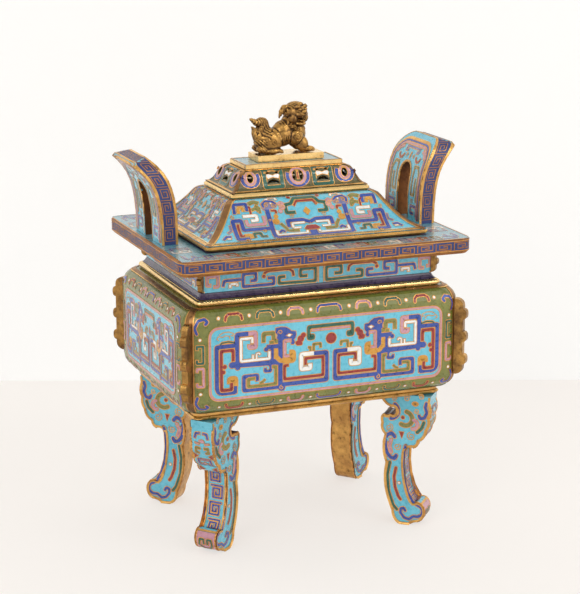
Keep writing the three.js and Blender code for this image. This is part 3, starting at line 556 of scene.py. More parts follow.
@dataclass
class Face:
    """A plane face of a node, on which u runs right and v up, in millimetres."""

    node: str
    origin: Vector
    right: Vector
    up: Vector
    out: Vector
    step: float = 400.0

    CAST_FROM = 0.004
    CAST_REACH = 0.0095

    def locate(self, u: float, v: float) -> tuple[Vector, Vector]:
        """Gives the point and the outward direction at a place on the face.

        Args:
            u: Millimetres to the right.
            v: Millimetres up.

        Returns:
            The point in millimetres and the unit normal.
        """
        return self.origin + self.right * u + self.up * v, self.out

    def place(self, u: float, v: float, lift: float) -> Vector:
        """Gives the point on the node's own surface, lifted off it.

        Args:
            u: Millimetres to the right.
            v: Millimetres up.
            lift: Millimetres off the surface.

        Returns:
            The point in metres.
        """
        point, normal = self.locate(u, v)
        start = point * MM + normal * self.CAST_FROM
        hit = tree_of(self.node).ray_cast(start, -normal, self.CAST_REACH)
        base = hit[0] if hit[0] is not None else point * MM
        return base + normal * (lift * MM)


@dataclass
class RoundedSide(Face):
    """One side of the body, which rolls over at its top and bottom and round its corners."""

    half: float = 95.9
    depth: float = 72.6
    corner: float = 14.5
    low: float = 106.9
    high: float = 155.4
    roll: float = 10.5
    inset_top: float = 9.3
    inset_low: float = 13.0

    CORNER_SHRINK = 0.8
    CORNER_LEAST = 2.0

    def locate(self, u: float, v: float) -> tuple[Vector, Vector]:
        """Gives the point and outward direction at arc lengths u round the body and v up its profile.

        Args:
            u: Millimetres round the body from the side's middle.
            v: The height, run on along the curve where the body rolls over.

        Returns:
            The point in millimetres and the unit normal.
        """
        beyond = max(v - self.high, self.low - v, 0.0)
        inset_full = self.inset_top if v > self.high else self.inset_low
        mean = (self.roll + inset_full) / 2
        angle = min(beyond / mean, math.pi / 2)
        inset = inset_full * (1 - math.cos(angle))
        rise = self.roll * math.sin(angle)
        sign = 1 if v > self.high else -1
        z = v if beyond == 0 else (self.high + rise if sign > 0 else self.low - rise)
        tilt = UP * sign * (inset_full * math.sin(angle) + 1e-9)
        flat = self.half - self.corner
        turn = 0.0
        if abs(u) > flat:
            turn = math.copysign(min((abs(u) - flat) / self.corner, math.pi / 2), u)
        radius = max(self.corner - self.CORNER_SHRINK * inset, self.CORNER_LEAST)
        centre = self.half - inset - radius
        along = u / flat * centre if abs(u) <= flat else math.copysign(centre, u) + radius * math.sin(turn)
        away = self.depth - inset - radius + radius * math.cos(turn)
        point = self.right * along + self.out * away + UP * z
        outward = self.out * math.cos(turn) + self.right * math.sin(turn)
        normal = outward * (self.roll * math.cos(angle)) + tilt
        return point, normal.normalized()


def without_repeats(path: Path, least: float = 0.01) -> Path:
    """Drops the points of a path that lie on the one before."""
    return [p for k, p in enumerate(path) if k == 0 or math.dist(p, path[k - 1]) > least]


def length_of(path: Path) -> float:
    """Gives a path's length."""
    return sum(math.dist(a, b) for a, b in zip(path, path[1:]))


def travel(path: Path, length: float) -> tuple[Point, Point]:
    """Gives the point at a length along a path and the path's direction there.

    Args:
        path: The path.
        length: The length from its start. Beyond its end the path runs straight on.

    Returns:
        The point and the unit direction.
    """
    for a, b in zip(path, path[1:]):
        stretch = math.dist(a, b)
        way = ((b[0] - a[0]) / stretch, (b[1] - a[1]) / stretch)
        if length <= stretch or b == path[-1]:
            return (a[0] + way[0] * length, a[1] + way[1] * length), way
        length -= stretch
    raise ValueError("a path needs two points")


@dataclass
class ProfileSide(Face):
    """One side of a shell whose profile leans in, measured by the length of its surface from its foot."""

    profile: list[Point] = field(default_factory=list)

    def locate(self, u: float, v: float) -> tuple[Vector, Vector]:
        """Gives the point and outward direction at u along the side and v up the profile's own length."""
        (depth, z), (outwards, rise) = travel(self.profile, v)
        return self.right * u + self.out * depth + UP * z, (self.out * rise - UP * outwards).normalized()


@dataclass
class CastFace(Face):
    """A curved face that is found by looking straight at it from outside."""

    reach: float = 30.0

    def place(self, u: float, v: float, lift: float) -> Vector:
        """Gives the first point of the node behind the plane at u, v, lifted off its surface.

        Args:
            u: Millimetres to the right.
            v: Millimetres up.
            lift: Millimetres off the surface.

        Returns:
            The point in metres.
        """
        start = (self.origin + self.right * u + self.up * v + self.out * self.reach) * MM
        hit, normal, _, _ = tree_of(self.node).ray_cast(start, -self.out, 3 * self.reach * MM)
        if hit is None:
            return (self.origin + self.right * u + self.up * v) * MM
        return hit + normal * (lift * MM)


@dataclass
class EdgeFace(Face):
    """The narrow face that runs down a cut-out shape: u across its thickness, v along its outline."""

    outline: list[Point] = field(default_factory=list)

    def locate(self, u: float, v: float) -> tuple[Vector, Vector]:
        """Gives the point and outward direction at u across the thickness and v along the outline."""
        (x, z), (dx, dz) = travel(self.outline, v)
        return self.origin + self.out * x + self.up * z + self.right * u, self.up * dx - self.out * dz


@dataclass
class LoopBand(Face):
    """A handle's edge or its slot's wall.

    u runs along the loop in the (y, z) plane, and v from the handle's inner to its outer face.
    """

    sign: float = 1.0
    inward: bool = False
    loop: list[Point] = field(default_factory=list)
    levels: list[tuple[float, float, float]] = field(default_factory=list)

    def faces_at(self, z: float) -> tuple[float, float]:
        """Gives how far out the handle's inner and outer faces stand at a height.

        Args:
            z: The height.

        Returns:
            The inner and the outer face's distance from the middle.
        """
        for low, high in zip(self.levels, self.levels[1:]):
            if z <= high[0] or high is self.levels[-1]:
                share = (z - low[0]) / (high[0] - low[0])
                return low[1] + (high[1] - low[1]) * share, low[2] + (high[2] - low[2]) * share
        return self.levels[-1][1:]

    def locate(self, u: float, v: float) -> tuple[Vector, Vector]:
        """Gives the point and outward direction at u along the loop and a share v of the thickness.

        Args:
            u: Millimetres along the loop.
            v: The share of the thickness.

        Returns:
            The point in millimetres and the outward direction.
        """
        (y, z), (dy, dz) = travel(self.loop, u)
        inner, outer = self.faces_at(z)
        way = 1.0 if self.inward else -1.0
        return Vector(((inner + (outer - inner) * v) * self.sign, y, z)), Vector((0, dz * way, -dy * way))


# Cells and wires

REACH_MOST = 0.45
CORNER_DROP = 0.32 * 0.55


def rounded(path: Path, radius: float, closed: bool) -> Path:
    """Rounds a path's corners.

    Args:
        path: The path's corners.
        radius: How far from each corner the rounding starts.
        closed: Whether the path closes on itself.

    Returns:
        The rounded path.
    """
    if radius <= 0 or len(path) < 3:
        return path
    result: Path = []
    count = len(path)
    for index, here in enumerate(path):
        if not closed and index in (0, count - 1):
            result.append(here)
            continue
        before, after = path[index - 1], path[(index + 1) % count]
        for near, far, shares in ((before, after, (1.0, 0.3)), (after, before, (0.3, 1.0))):
            length, span = math.dist(here, near) or 1.0, math.dist(here, far) or 1.0
            for share in shares:
                reach = min(radius, length * REACH_MOST) * share / length
                inward = 0.0 if share == 1 else min(radius, span * REACH_MOST) * CORNER_DROP / span
                result.append(tuple(
                    h + (n - h) * reach + (f - h) * inward for h, n, f in zip(here, near, far)
                ))
    return result


def split_long(path: Path, step: float, closed: bool) -> Path:
    """Adds points to a path so that no stretch is longer than a step.

    Args:
        path: The path.
        step: The longest stretch allowed.
        closed: Whether it closes on itself.

    Returns:
        The path with the points added.
    """
    ends = path + [path[0]] if closed else path
    result: Path = []
    for a, b in zip(ends, ends[1:]):
        pieces = max(1, math.ceil(math.dist(a, b) / step))
        result += [(a[0] + (b[0] - a[0]) * k / pieces, a[1] + (b[1] - a[1]) * k / pieces)
                   for k in range(pieces)]
    return result if closed else result + [path[-1]]


def around(centre: Point, angle: float, radius: float, squash: float = 1.0) -> Point:
    """Gives the point at an angle in degrees and a distance from a centre."""
    turn = math.radians(angle)
    return centre[0] + radius * math.cos(turn), centre[1] + radius * squash * math.sin(turn)


def arc(centre: Point, radius: float, start: float, end: float, count: int = 8, squash: float = 1.0) -> Path:
    """Gives points along an arc, with its angles in degrees."""
    return [around(centre, start + (end - start) * k / count, radius, squash) for k in range(count + 1)]


def ring(centre: Point, radius: float, count: int, squash: float = 1.0) -> Path:
    """Gives points round a circle or an oval."""
    return arc(centre, radius, 0, 360, count, squash)[:-1]


def spiral(centre: Point, outer: float, inner: float, start: float, turns: float, count: int = 14) -> Path:
    """Gives points along a spiral that winds inward, with its start in degrees."""
    return [around(centre, start + 360 * turns * k / count, outer + (inner - outer) * k / count)
            for k in range(count + 1)]


FRET_UNIT: Path = [
    (0.08, 0.0), (0.08, 1.0), (0.9, 1.0), (0.9, 0.2), (0.28, 0.2), (0.28, 0.76), (0.7, 0.76), (0.7, 0.44),
    (0.48, 0.44),
]


def fret_path(k: int, start: float, period: float, low: float, high: float) -> Path:
    """Gives one squared spiral of a key fret, every other one turned over."""
    return [(start + period * (k + a), low + (high - low) * (1 - b if k % 2 else b)) for a, b in FRET_UNIT]


class CellWork:
    """Wires and enamel cells laid over the faces of one sub-assembly, as one mesh."""

    GROUND, CELL = 0.07, 0.16
    LAYER = 0.10
    FILL = 0.05
    NUDGE = 0.002
    NUDGES = 24
    WIDE = 0.7
    MITRE_LEAST = 0.35
    CAP_SIDES = 10
    DISC_SIDES = 12
    BAND_ROWS = 6
    BAND_THICKNESS = 10.0

    def __init__(self, name: str, body: str, wire: float = 0.5) -> None:
        """Starts an empty piece.

        Args:
            name: The piece's name.
            body: The CAD body that it rides on.
            wire: The wires' width in millimetres.
        """
        self.name, self.body, self.wire = name, body, wire
        self.points: list[Vector] = []
        self.faces: list[tuple[tuple[int, ...], Finish]] = []
        self.laid = 0

    def height(self, layer: int, fill: bool) -> float:
        """Gives how far a strip lies off the surface, so that later work covers earlier."""
        base = self.GROUND if layer < 0 else self.CELL + layer * self.LAYER
        return base + (self.FILL if fill else 0.0) + (self.laid % self.NUDGES) * self.NUDGE

    def add(self, face: Face, flat: list[Point], shapes: list[tuple[int, ...]], lift: float,
            finish: Finish) -> None:
        """Adds polygons given in a face's own coordinates.

        Args:
            face: The face that they lie on.
            flat: The polygons' points.
            shapes: The polygons, by the points' numbers.
            lift: Millimetres off the surface.
            finish: Their finish.
        """
        start = len(self.points)
        self.points += [face.place(u, v, lift) for u, v in flat]
        for shape in shapes:
            a, b, c = (self.points[start + k] for k in shape[:3])
            outward = face.locate(*flat[shape[0]])[1]
            order = shape if (b - a).cross(c - b).dot(outward) >= 0 else shape[::-1]
            self.faces.append((tuple(start + k for k in order), finish))

    def strip(self, face: Face, path: Path, half: float, lift: float, finish: Finish,
              closed: bool = False, extend: float = 0.0) -> None:
        """Lays a strip along a path, its corners mitred.

        Args:
            face: The face that it lies on.
            path: The strip's middle line.
            half: Half the strip's width.
            lift: Millimetres off the surface.
            finish: Its finish.
            closed: Whether it closes on itself.
            extend: How far each open end runs on.
        """
        line = without_repeats(split_long(path, face.step, closed), 1e-4)
        count = len(line)
        if count < 2:
            return
        shares = (1, 0, -1) if half > self.WIDE else (1, -1)
        flat: Path = []
        for k, here in enumerate(line):
            before = line[k - 1] if k or closed else None
            after = line[(k + 1) % count] if k < count - 1 or closed else None
            into = _unit(before, here) if before else _unit(here, after)
            away = _unit(here, after) if after else into
            turn = max(1 + into[0] * away[0] + into[1] * away[1], self.MITRE_LEAST)
            side = ((-into[1] - away[1]) / turn * half, (into[0] + away[0]) / turn * half)
            base = here
            if extend and not closed and k in (0, count - 1):
                way = -extend if k == 0 else extend
                base = (here[0] + into[0] * way, here[1] + into[1] * way)
            flat += [(base[0] + side[0] * share, base[1] + side[1] * share) for share in shares]
        many = len(shares)
        quads = [(many * k + j, many * k + j + 1,
                  many * ((k + 1) % count) + j + 1, many * ((k + 1) % count) + j)
                 for k in range(count if closed else count - 1) for j in range(many - 1)]
        self.add(face, flat, quads, lift, finish)

    def stroke(self, face: Face, path: Path, width: float, finish: Finish, layer: int = 0,
               closed: bool = False, soften: float = 0.35, caps: bool = False) -> None:
        """Lays a cell of even width between its two wires.

        Args:
            face: The face that it lies on.
            path: The cell's middle line.
            width: The cell's width.
            finish: The enamel's finish.
            layer: Which layer of the work it belongs to.
            closed: Whether it closes on itself.
            soften: The rounding of its corners, as a share of its width.
            caps: Whether its ends are round.
        """
        self.laid += 1
        line = rounded(path, width * soften, closed)
        if caps:
            for end in (line[0], line[-1]):
                for half, fill in ((width / 2 + self.wire, False), (width / 2, True)):
                    self.add(face, ring(end, half, self.CAP_SIDES), [tuple(range(self.CAP_SIDES))],
                             self.height(layer, fill), finish if fill else Finish.WIRE)
            self.laid += 1
        self.strip(face, line, width / 2 + self.wire, self.height(layer, False), Finish.WIRE, closed,
                   self.wire)
        self.strip(face, line, width / 2, self.height(layer, True), finish, closed)

    def line(self, face: Face, path: Path, layer: int = 0, width: float = 0.0, closed: bool = False,
             finish: Finish = Finish.WIRE) -> None:
        """Lays a bare wire, or a wider bare strip of metal."""
        self.laid += 1
        self.strip(face, path, (width or self.wire * 1.15) / 2, self.height(layer, True), finish, closed)

    def area(self, face: Face, path: Path, finish: Finish, layer: int = 0, wire: bool = True) -> None:
        """Fills a closed shape and puts a wire round it.

        Args:
            face: The face that it lies on.
            path: The shape's outline.
            finish: The enamel's finish.
            layer: Which layer of the work it belongs to.
            wire: Whether a wire runs round it.
        """
        self.laid += 1
        if wire:
            self.strip(face, path, self.wire, self.height(layer, False), Finish.WIRE, True)
        outline = split_long(path, face.step, True)
        solid = [Vector((u, v, 0)) for u, v in outline]
        self.add(face, outline, [tuple(t) for t in tessellate_polygon([solid])], self.height(layer, True),
                 finish)

    def sheet(self, face: Face, box: Box, finish: Finish, lift: tuple[int, bool], across: int,
              rows: int = 1) -> None:
        """Lays a bare sheet over a box of the face, in so many pieces each way.

        Args:
            face: The face that it lies on.
            box: The box's left, low, right and high sides.
            finish: The finish.
            lift: Its layer, and whether it lies at the height of a cell's fill.
            across: How many pieces it has along u.
            rows: How many it has along v.
        """
        self.laid += 1
        left, low, right, high = box
        flat = [(left + (right - left) * i / across, low + (high - low) * j / rows)
                for j in range(rows + 1) for i in range(across + 1)]
        turn = across + 1
        quads = [(j * turn + i, j * turn + i + 1, (j + 1) * turn + i + 1, (j + 1) * turn + i)
                 for j in range(rows) for i in range(across)]
        self.add(face, flat, quads, self.height(*lift), finish)

    def patch(self, face: Face, box: Box, finish: Finish, layer: int = 0) -> None:
        """Covers a box of the face with a bare finish that follows its curve.

        Args:
            face: The face that it lies on.
            box: The box's left, low, right and high sides.
            finish: The finish.
            layer: Which layer of the work it belongs to.
        """
        left, low, right, high = box
        rows = self.BAND_ROWS if isinstance(face, LoopBand) else max(1, math.ceil((high - low) / face.step))
        self.sheet(face, box, finish, (layer, False), max(1, math.ceil((right - left) / face.step)), rows)

    def strip_across(self, face: Face, length: float, share: float, half: float, finish: Finish) -> None:
        """Runs a bare edge along a band at a share of its thickness."""
        self.sheet(face, (0.0, share - half, length, share + half), finish, (1, False),
                   math.ceil(length / face.step))

    def fret(self, face: Face, run: tuple[float, float], band: tuple[float, float], units: int,
             finish: Finish, width: float) -> None:
        """Lays a key fret of squared spirals.

        Args:
            face: The face that it lies on.
            run: Where it starts and ends along u.
            band: Its low and high edges along v.
            units: How many spirals it has.
            finish: The lines' finish.
            width: The lines' width.
        """
        for k in range(units):
            self.line(face, fret_path(k, run[0], (run[1] - run[0]) / units, *band), 0, width, finish=finish)

    def fret_across(self, face: Face, run: tuple[float, float], band: tuple[float, float], units: int,
                    finish: Finish, width: float) -> None:
        """Lays a key fret, bar by bar, along a band whose v is a share of its thickness.

        Args:
            face: The band.
            run: Where it starts and ends along u.
            band: Its low and high edges as shares of the thickness.
            units: How many spirals it has.
            finish: The bars' finish.
            width: The bars' width in millimetres.
        """
        du, dv = width / 2, width / 2 / self.BAND_THICKNESS
        for k in range(units):
            corners = fret_path(k, run[0], (run[1] - run[0]) / units, *band)
            for a, b in zip(corners, corners[1:]):
                (left, right), (low, high) = (sorted(ends) for ends in zip(a, b))
                pieces = max(1, math.ceil((right - left) / face.step))
                self.sheet(face, (left - du, low - dv, right + du, high + dv), finish, (0, True), pieces)

    def disc(self, face: Face, centre: Point, radius: float, finish: Finish, layer: int = 0,
             squash: float = 1.0) -> None:
        """Lays a round or oval cell with a wire round it."""
        self.area(face, ring(centre, radius, self.DISC_SIDES, squash), finish, layer)

    def build(self) -> None:
        """Makes the mesh and sets it riding."""
        mesh = make_mesh(self.name, self.points, [shape for shape, _ in self.faces])
        used = list(dict.fromkeys(finish for _, finish in self.faces))
        for finish in used:
            mesh.materials.append(material_of(finish))
        for polygon, (_, finish) in zip(mesh.polygons, self.faces):
            polygon.material_index = used.index(finish)
            polygon.use_smooth = True
        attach(add_object(self.name, mesh), self.body)
        log.info("%s: %d cells' faces in %d finishes", self.name, len(self.faces), len(used))


def _unit(a: Point, b: Point) -> Point:
    """Gives the direction from one point to another."""
    length = math.dist(a, b) or 1.0
    return (b[0] - a[0]) / length, (b[1] - a[1]) / length


@dataclass
class EdgeBeads:
    """Gilt beads run along the sharp edges of some nodes, as one piece.

    `keep` says of an edge's two ends, in millimetres, whether it gets a bead, and `sharp` is the least angle
    of an edge in degrees.
    """

    name: str
    body: str
    nodes: list[str]
    radius: float
    finish: Finish
    keep: Callable[[Vector, Vector], bool]
    sharp: float
    sides: int = 6
    overrun: float = 0.12
    sunk: float = 0.45

    def edges(self, node: str) -> list[tuple[Vector, Vector, Vector]]:
        """Finds a node's edges that get a bead.

        Args:
            node: The CAD node.

        Returns:
            Each edge's two ends in millimetres and the direction into the solid.
        """
        work = bmesh.new()
        work.from_mesh(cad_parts[node].data)
        bmesh.ops.remove_doubles(work, verts=work.verts, dist=1e-6)
        found = []
        for edge in work.edges:
            if len(edge.link_faces) == 2 and math.degrees(edge.calc_face_angle(0)) >= self.sharp:
                a, b = (v.co / MM for v in edge.verts)
                if self.keep(a, b):
                    outward = (edge.link_faces[0].normal + edge.link_faces[1].normal).normalized()
                    found.append((a, b, -outward))
        work.free()
        return found

    def build(self) -> None:
        """Lays a bead along each edge."""
        points: list[Vector] = []
        faces: list[tuple[int, ...]] = []
        count, radius = self.sides, self.radius
        for a, b, inward in (edge for node in self.nodes for edge in self.edges(node)):
            along = (b - a).normalized()
            side = along.cross(inward).normalized()
            start = len(points)
            for end, shift in ((a, -self.overrun), (b, self.overrun)):
                middle = end + along * shift + inward * radius * self.sunk
                for angle in (2 * math.pi * k / count for k in range(count)):
                    points.append((middle + inward * radius * math.cos(angle)
                                   + side * radius * math.sin(angle)) * MM)
            faces += [(start + k, start + (k + 1) % count, start + count + (k + 1) % count, start + count + k)
                      for k in range(count)]
            faces.append(tuple(range(start + count - 1, start - 1, -1)))
            faces.append(tuple(range(start + count, start + 2 * count)))
        mesh = make_mesh(self.name, points, faces)
        mesh.materials.append(material_of(self.finish))
        work = bmesh.new()
        work.from_mesh(mesh)
        bmesh.ops.recalc_face_normals(work, faces=work.faces)
        work.to_mesh(mesh)
        work.free()
        for polygon in mesh.polygons:
            polygon.use_smooth = len(polygon.vertices) == 4
        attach(add_object(self.name, mesh), self.body)
        log.info("%s: %d edges", self.name, len(faces) // (count + 2))


# Vessel

@dataclass
class ShoulderRoll:
    """The round gilt bead along the nose of the shoulder moulding."""

    radius: float = 1.75
    inset: float = 1.5
    corner: float = 4.0
    rise: float = 1.8
    sides: int = 16

    def route(self) -> list[tuple[Vector, Vector]]:
        """Gives the bead's middle line round the moulding, each point with its outward direction.

        Returns:
            Each point in millimetres and its outward direction.
        """
        low, high = (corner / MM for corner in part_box("shoulder_moulding"))
        bend_x, bend_y = high.x - self.corner, high.y - self.corner
        reach = self.corner - self.inset
        places = []
        bends = ((bend_x, bend_y), (-bend_x, bend_y), (-bend_x, -bend_y), (bend_x, -bend_y))
        for turn, (x, y) in enumerate(bends):
            for step in range(7):
                angle = math.radians(90 * turn + 15 * step)
                out = Vector((math.cos(angle), math.sin(angle), 0))
                places.append((Vector((x, y, low.z + self.rise)) + out * reach, out))
        return places

    def build(self) -> None:
        """Sweeps the bead round the vessel."""
        route = self.route()
        count, sides = len(route), self.sides
        points = [(place + (out * math.cos(angle) + UP * math.sin(angle)) * self.radius) * MM
                  for place, out in route for angle in (2 * math.pi * k / sides for k in range(sides))]
        faces = [(r * sides + k, (r + 1) % count * sides + k,
                  (r + 1) % count * sides + (k + 1) % sides, r * sides + (k + 1) % sides)
                 for r in range(count) for k in range(sides)]
        mesh = make_mesh("shoulder_roll", points, faces)
        mesh.materials.append(material_of(Finish.BRIGHT))
        mesh.shade_smooth()
        piece = add_object("shoulder_roll", mesh)
        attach(piece, "vessel")
        log.info("shoulder_roll: %d faces", len(faces))


@dataclass
class BodyPanels:
    """The body's moss-green ground, its four turquoise panels with paired dragons, and its dotted borders."""

    half_long: float = 95.9
    half_short: float = 72.6
    frame_long: float = 79.6
    frame_short: float = 52.65
    panel_low: float = 107.6
    panel_high: float = 154.3
    corner: float = 6.0
    axis: float = 2.1
    axis_short: float = 0.8
    shrink_short: float = 0.655
    shrink_right: float = 0.97
    drawn_scale: float = 0.9976
    drawn_shift: Point = (-1.08, 1.1)

    def build(self) -> None:
        """Lays all four sides."""
        for side in Side:
            work = CellWork(f"body_cells_{side.name.lower()}", "vessel")
            half, depth = side.spans(self.half_long, self.half_short)
            face = RoundedSide("vessel_body", Vector(), side.right, UP, side.out, 1.6, half, depth)
            flat = side.plane("vessel_body", depth)
            self.frame(work, flat, side.long)
            self.dragons(work, flat, side.long)
            self.borders(work, face, side.long)
            self.upright_borders(work, face, side.long)
            self.bands(work, face)
            work.build()

    def frame(self, work: CellWork, flat: Face, long: bool) -> None:
        """Lays a panel's turquoise ground and its pink frame.

        Args:
            work: The piece.
            flat: The panel's plane.
            long: Whether this is a long side.
        """
        half = self.frame_long if long else self.frame_short
        low, high, r = self.panel_low, self.panel_high, self.corner
        outline: Path = []
        for k, (way_u, v) in enumerate(((1, high - r), (-1, high - r), (-1, low + r), (1, low + r))):
            outline += arc((way_u * (half - r), v), r, 90 * k, 90 * k + 90, 5)
        work.area(flat, outline, Finish.TURQUOISE, -1, False)
        work.stroke(flat, outline, 1.0, Finish.PINK, 0, True, 0)

    def dragons(self, work: CellWork, face: Face, long: bool) -> None:
        """Lays the panel's pair of square-scrolled dragons about the disc or lozenge in the middle.

        Args:
            work: The piece.
            face: The panel's plane.
            long: Whether this is a long side.
        """
        shrink, axis = (1.0, self.axis) if long else (self.shrink_short, self.axis_short)
        scale, (shift_u, shift_v) = self.drawn_scale, self.drawn_shift

        def fit(path: Path, right: bool) -> Path:
            """Moves the motif as read on the front to this side and this half.

            Args:
                path: The motif.
                right: Whether it is on the right half.

            Returns:
                The moved motif.
            """
            moved = [((scale * u + shift_u - self.axis) * shrink * (self.shrink_right if right else 1.0),
                      scale * v + shift_v) for u, v in path]
            return [(axis - u if right else axis + u, v) for u, v in moved]

        for right in (False, True):
            for finish, width, layer, path in DRAGON_STROKES:
                work.stroke(face, fit(path, right), width * (1 if long else 0.82), finish, layer)
            for finish, radius, layer, centre in DRAGON_DISCS:
                work.disc(face, fit([centre], right)[0], radius * (1 if long else 0.8), finish, layer)
            work.area(face, fit(DRAGON_HEAD, right), Finish.COBALT, 0)
            work.area(face, fit(DRAGON_EYE, right), Finish.WHITE, 1)
            for curl in DRAGON_CURLS:
                work.line(face, fit(spiral(*curl), right), 1)
            for path in DRAGON_MANES:
                work.line(face, fit(path, right))
        if long:
            work.disc(face, fit([(3.3, 139.8)], False)[0], 3.5, Finish.RED)
        else:
            u, v = fit([(3.3, 136.0)], False)[0]
            work.area(face, [(u - 1.9, v), (u, v - 3), (u + 1.9, v), (u, v + 3)], Finish.RED)

    def borders(self, work: CellWork, face: RoundedSide, long: bool) -> None:
        """Lays the dots and little scrolls of the moss-green border over and under the panel.

        Args:
            work: The piece.
            face: The face.
            long: Whether this is a long side.
        """
        stretch, size = (1.0, 1.0) if long else (self.shrink_short, 0.8)
        for edge, way in ((face.high, 1), (face.low, -1)):
            low, mid, top = (edge + way * rise for rise in (3.2, 5.2, 6.8))
            for centre, reach, finish in BORDER_ARCS:
                c, r = centre * stretch, reach * size
                left = [(c - r, low), (c - r + 0.3, mid), (c - r + 2.2, top)]
                right = [(c + r - 2.2, top), (c + r - 0.3, mid), (c + r, low)]
                work.stroke(face, left + right, 1.4, finish, caps=True)
            for place in BORDER_DOTS:
                work.disc(face, (place * stretch, edge + way * 4.8), 0.8, Finish.WHITE)

    def upright_borders(self, work: CellWork, face: RoundedSide, long: bool) -> None:
        """Lays the square scrolls, dots and corner clouds of the border on either side of the panel.

        Args:
            work: The piece.
            face: The face.
            long: Whether this is a long side.
        """
        for sign in (-1, 1):
            middle = sign * ((self.frame_long if long else self.frame_short) + 6.1)
            for low, high, finish in ((132.5, 143.5, Finish.LEAF), (117.5, 129, Finish.PINK)):
                inner, outer = middle - sign * 2.0, middle + sign * 2.0
                scroll = [(outer, low + 2.2), (outer, low), (inner, low)]
                scroll += [(inner, high), (outer, high), (outer, high - 2.2)]
                work.stroke(face, scroll, 1.35, finish)
            for v in (147.6, 112.6):
                work.disc(face, (middle, v), 0.8, Finish.WHITE)
            for base, way in ((155.0, 1), (106.5, -1)):
                path = [(middle + sign * u, base + way * v) for u, v in CORNER_CLOUD]
                work.stroke(face, path, 1.7, Finish.COBALT, caps=True)

    def bands(self, work: CellWork, face: RoundedSide) -> None:
        """Lays the brown bands along the body's corners, under its shoulder and round its foot.

        Args:
            work: The piece.
            face: The face.
        """
        end = face.half - face.corner + face.corner * math.pi / 4
        for sign in (-1, 1):
            inner, outer = sorted((sign * (end - 2.6), sign * end))
            work.patch(face, (inner, 97.2, outer, 169.0), Finish.BROWN, 0)
            work.line(face, [(sign * (end - 2.9), 98.2), (sign * (end - 2.9), 167.0)], 1, 0.8)
        work.patch(face, (-end, 167.0, end, 170.6), Finish.BROWN, 1)
        work.line(face, [(-end, 167.0), (end, 167.0)], 2, 0.8, finish=Finish.GILT)
        work.patch(face, (-end, 92.6, end, 96.0), Finish.BROWN, 1)


BORDER_ARCS: list[tuple[float, float, Finish]] = [
    (-63.5, 5.5, Finish.RED), (-42.5, 5.5, Finish.LEAF), (-22, 5, Finish.PINK), (1, 8, Finish.COBALT),
    (24.8, 4.8, Finish.PINK), (45.2, 5.2, Finish.LEAF), (66, 5, Finish.RED),
]
BORDER_DOTS = [-73.5, -53, -32, -11.5, 15, 35, 55, 75]
CORNER_CLOUD: Path = [(2.0, -3.5), (3.4, 0), (1.2, 4.6), (-2.8, 5.6), (-5.0, 3.6), (-3.6, 2.4)]
DRAGON_EYE: Path = [(-27, 144.6), (-25.6, 145.4), (-24, 144.8), (-25.4, 143.7)]
DRAGON_CURLS: list[tuple[Point, float, float, float, float]] = [
    ((-31.5, 147), 1.7, 0.4, 200, -1.2), ((-30.7, 110.8), 1.6, 0.3, 90, 1.2),
]
DRAGON_MANES: list[Path] = [
    [(-72.4, 145.6), (-74, 146.6), (-73, 148.2), (-70, 147.6), (-68, 148.4), (-65.6, 147.8), (-65.2, 146)],
    [(-72.4, 149), (-70, 150.4), (-66, 150.6), (-62.8, 149.4), (-63.4, 147.8), (-64.6, 148.4)],
]
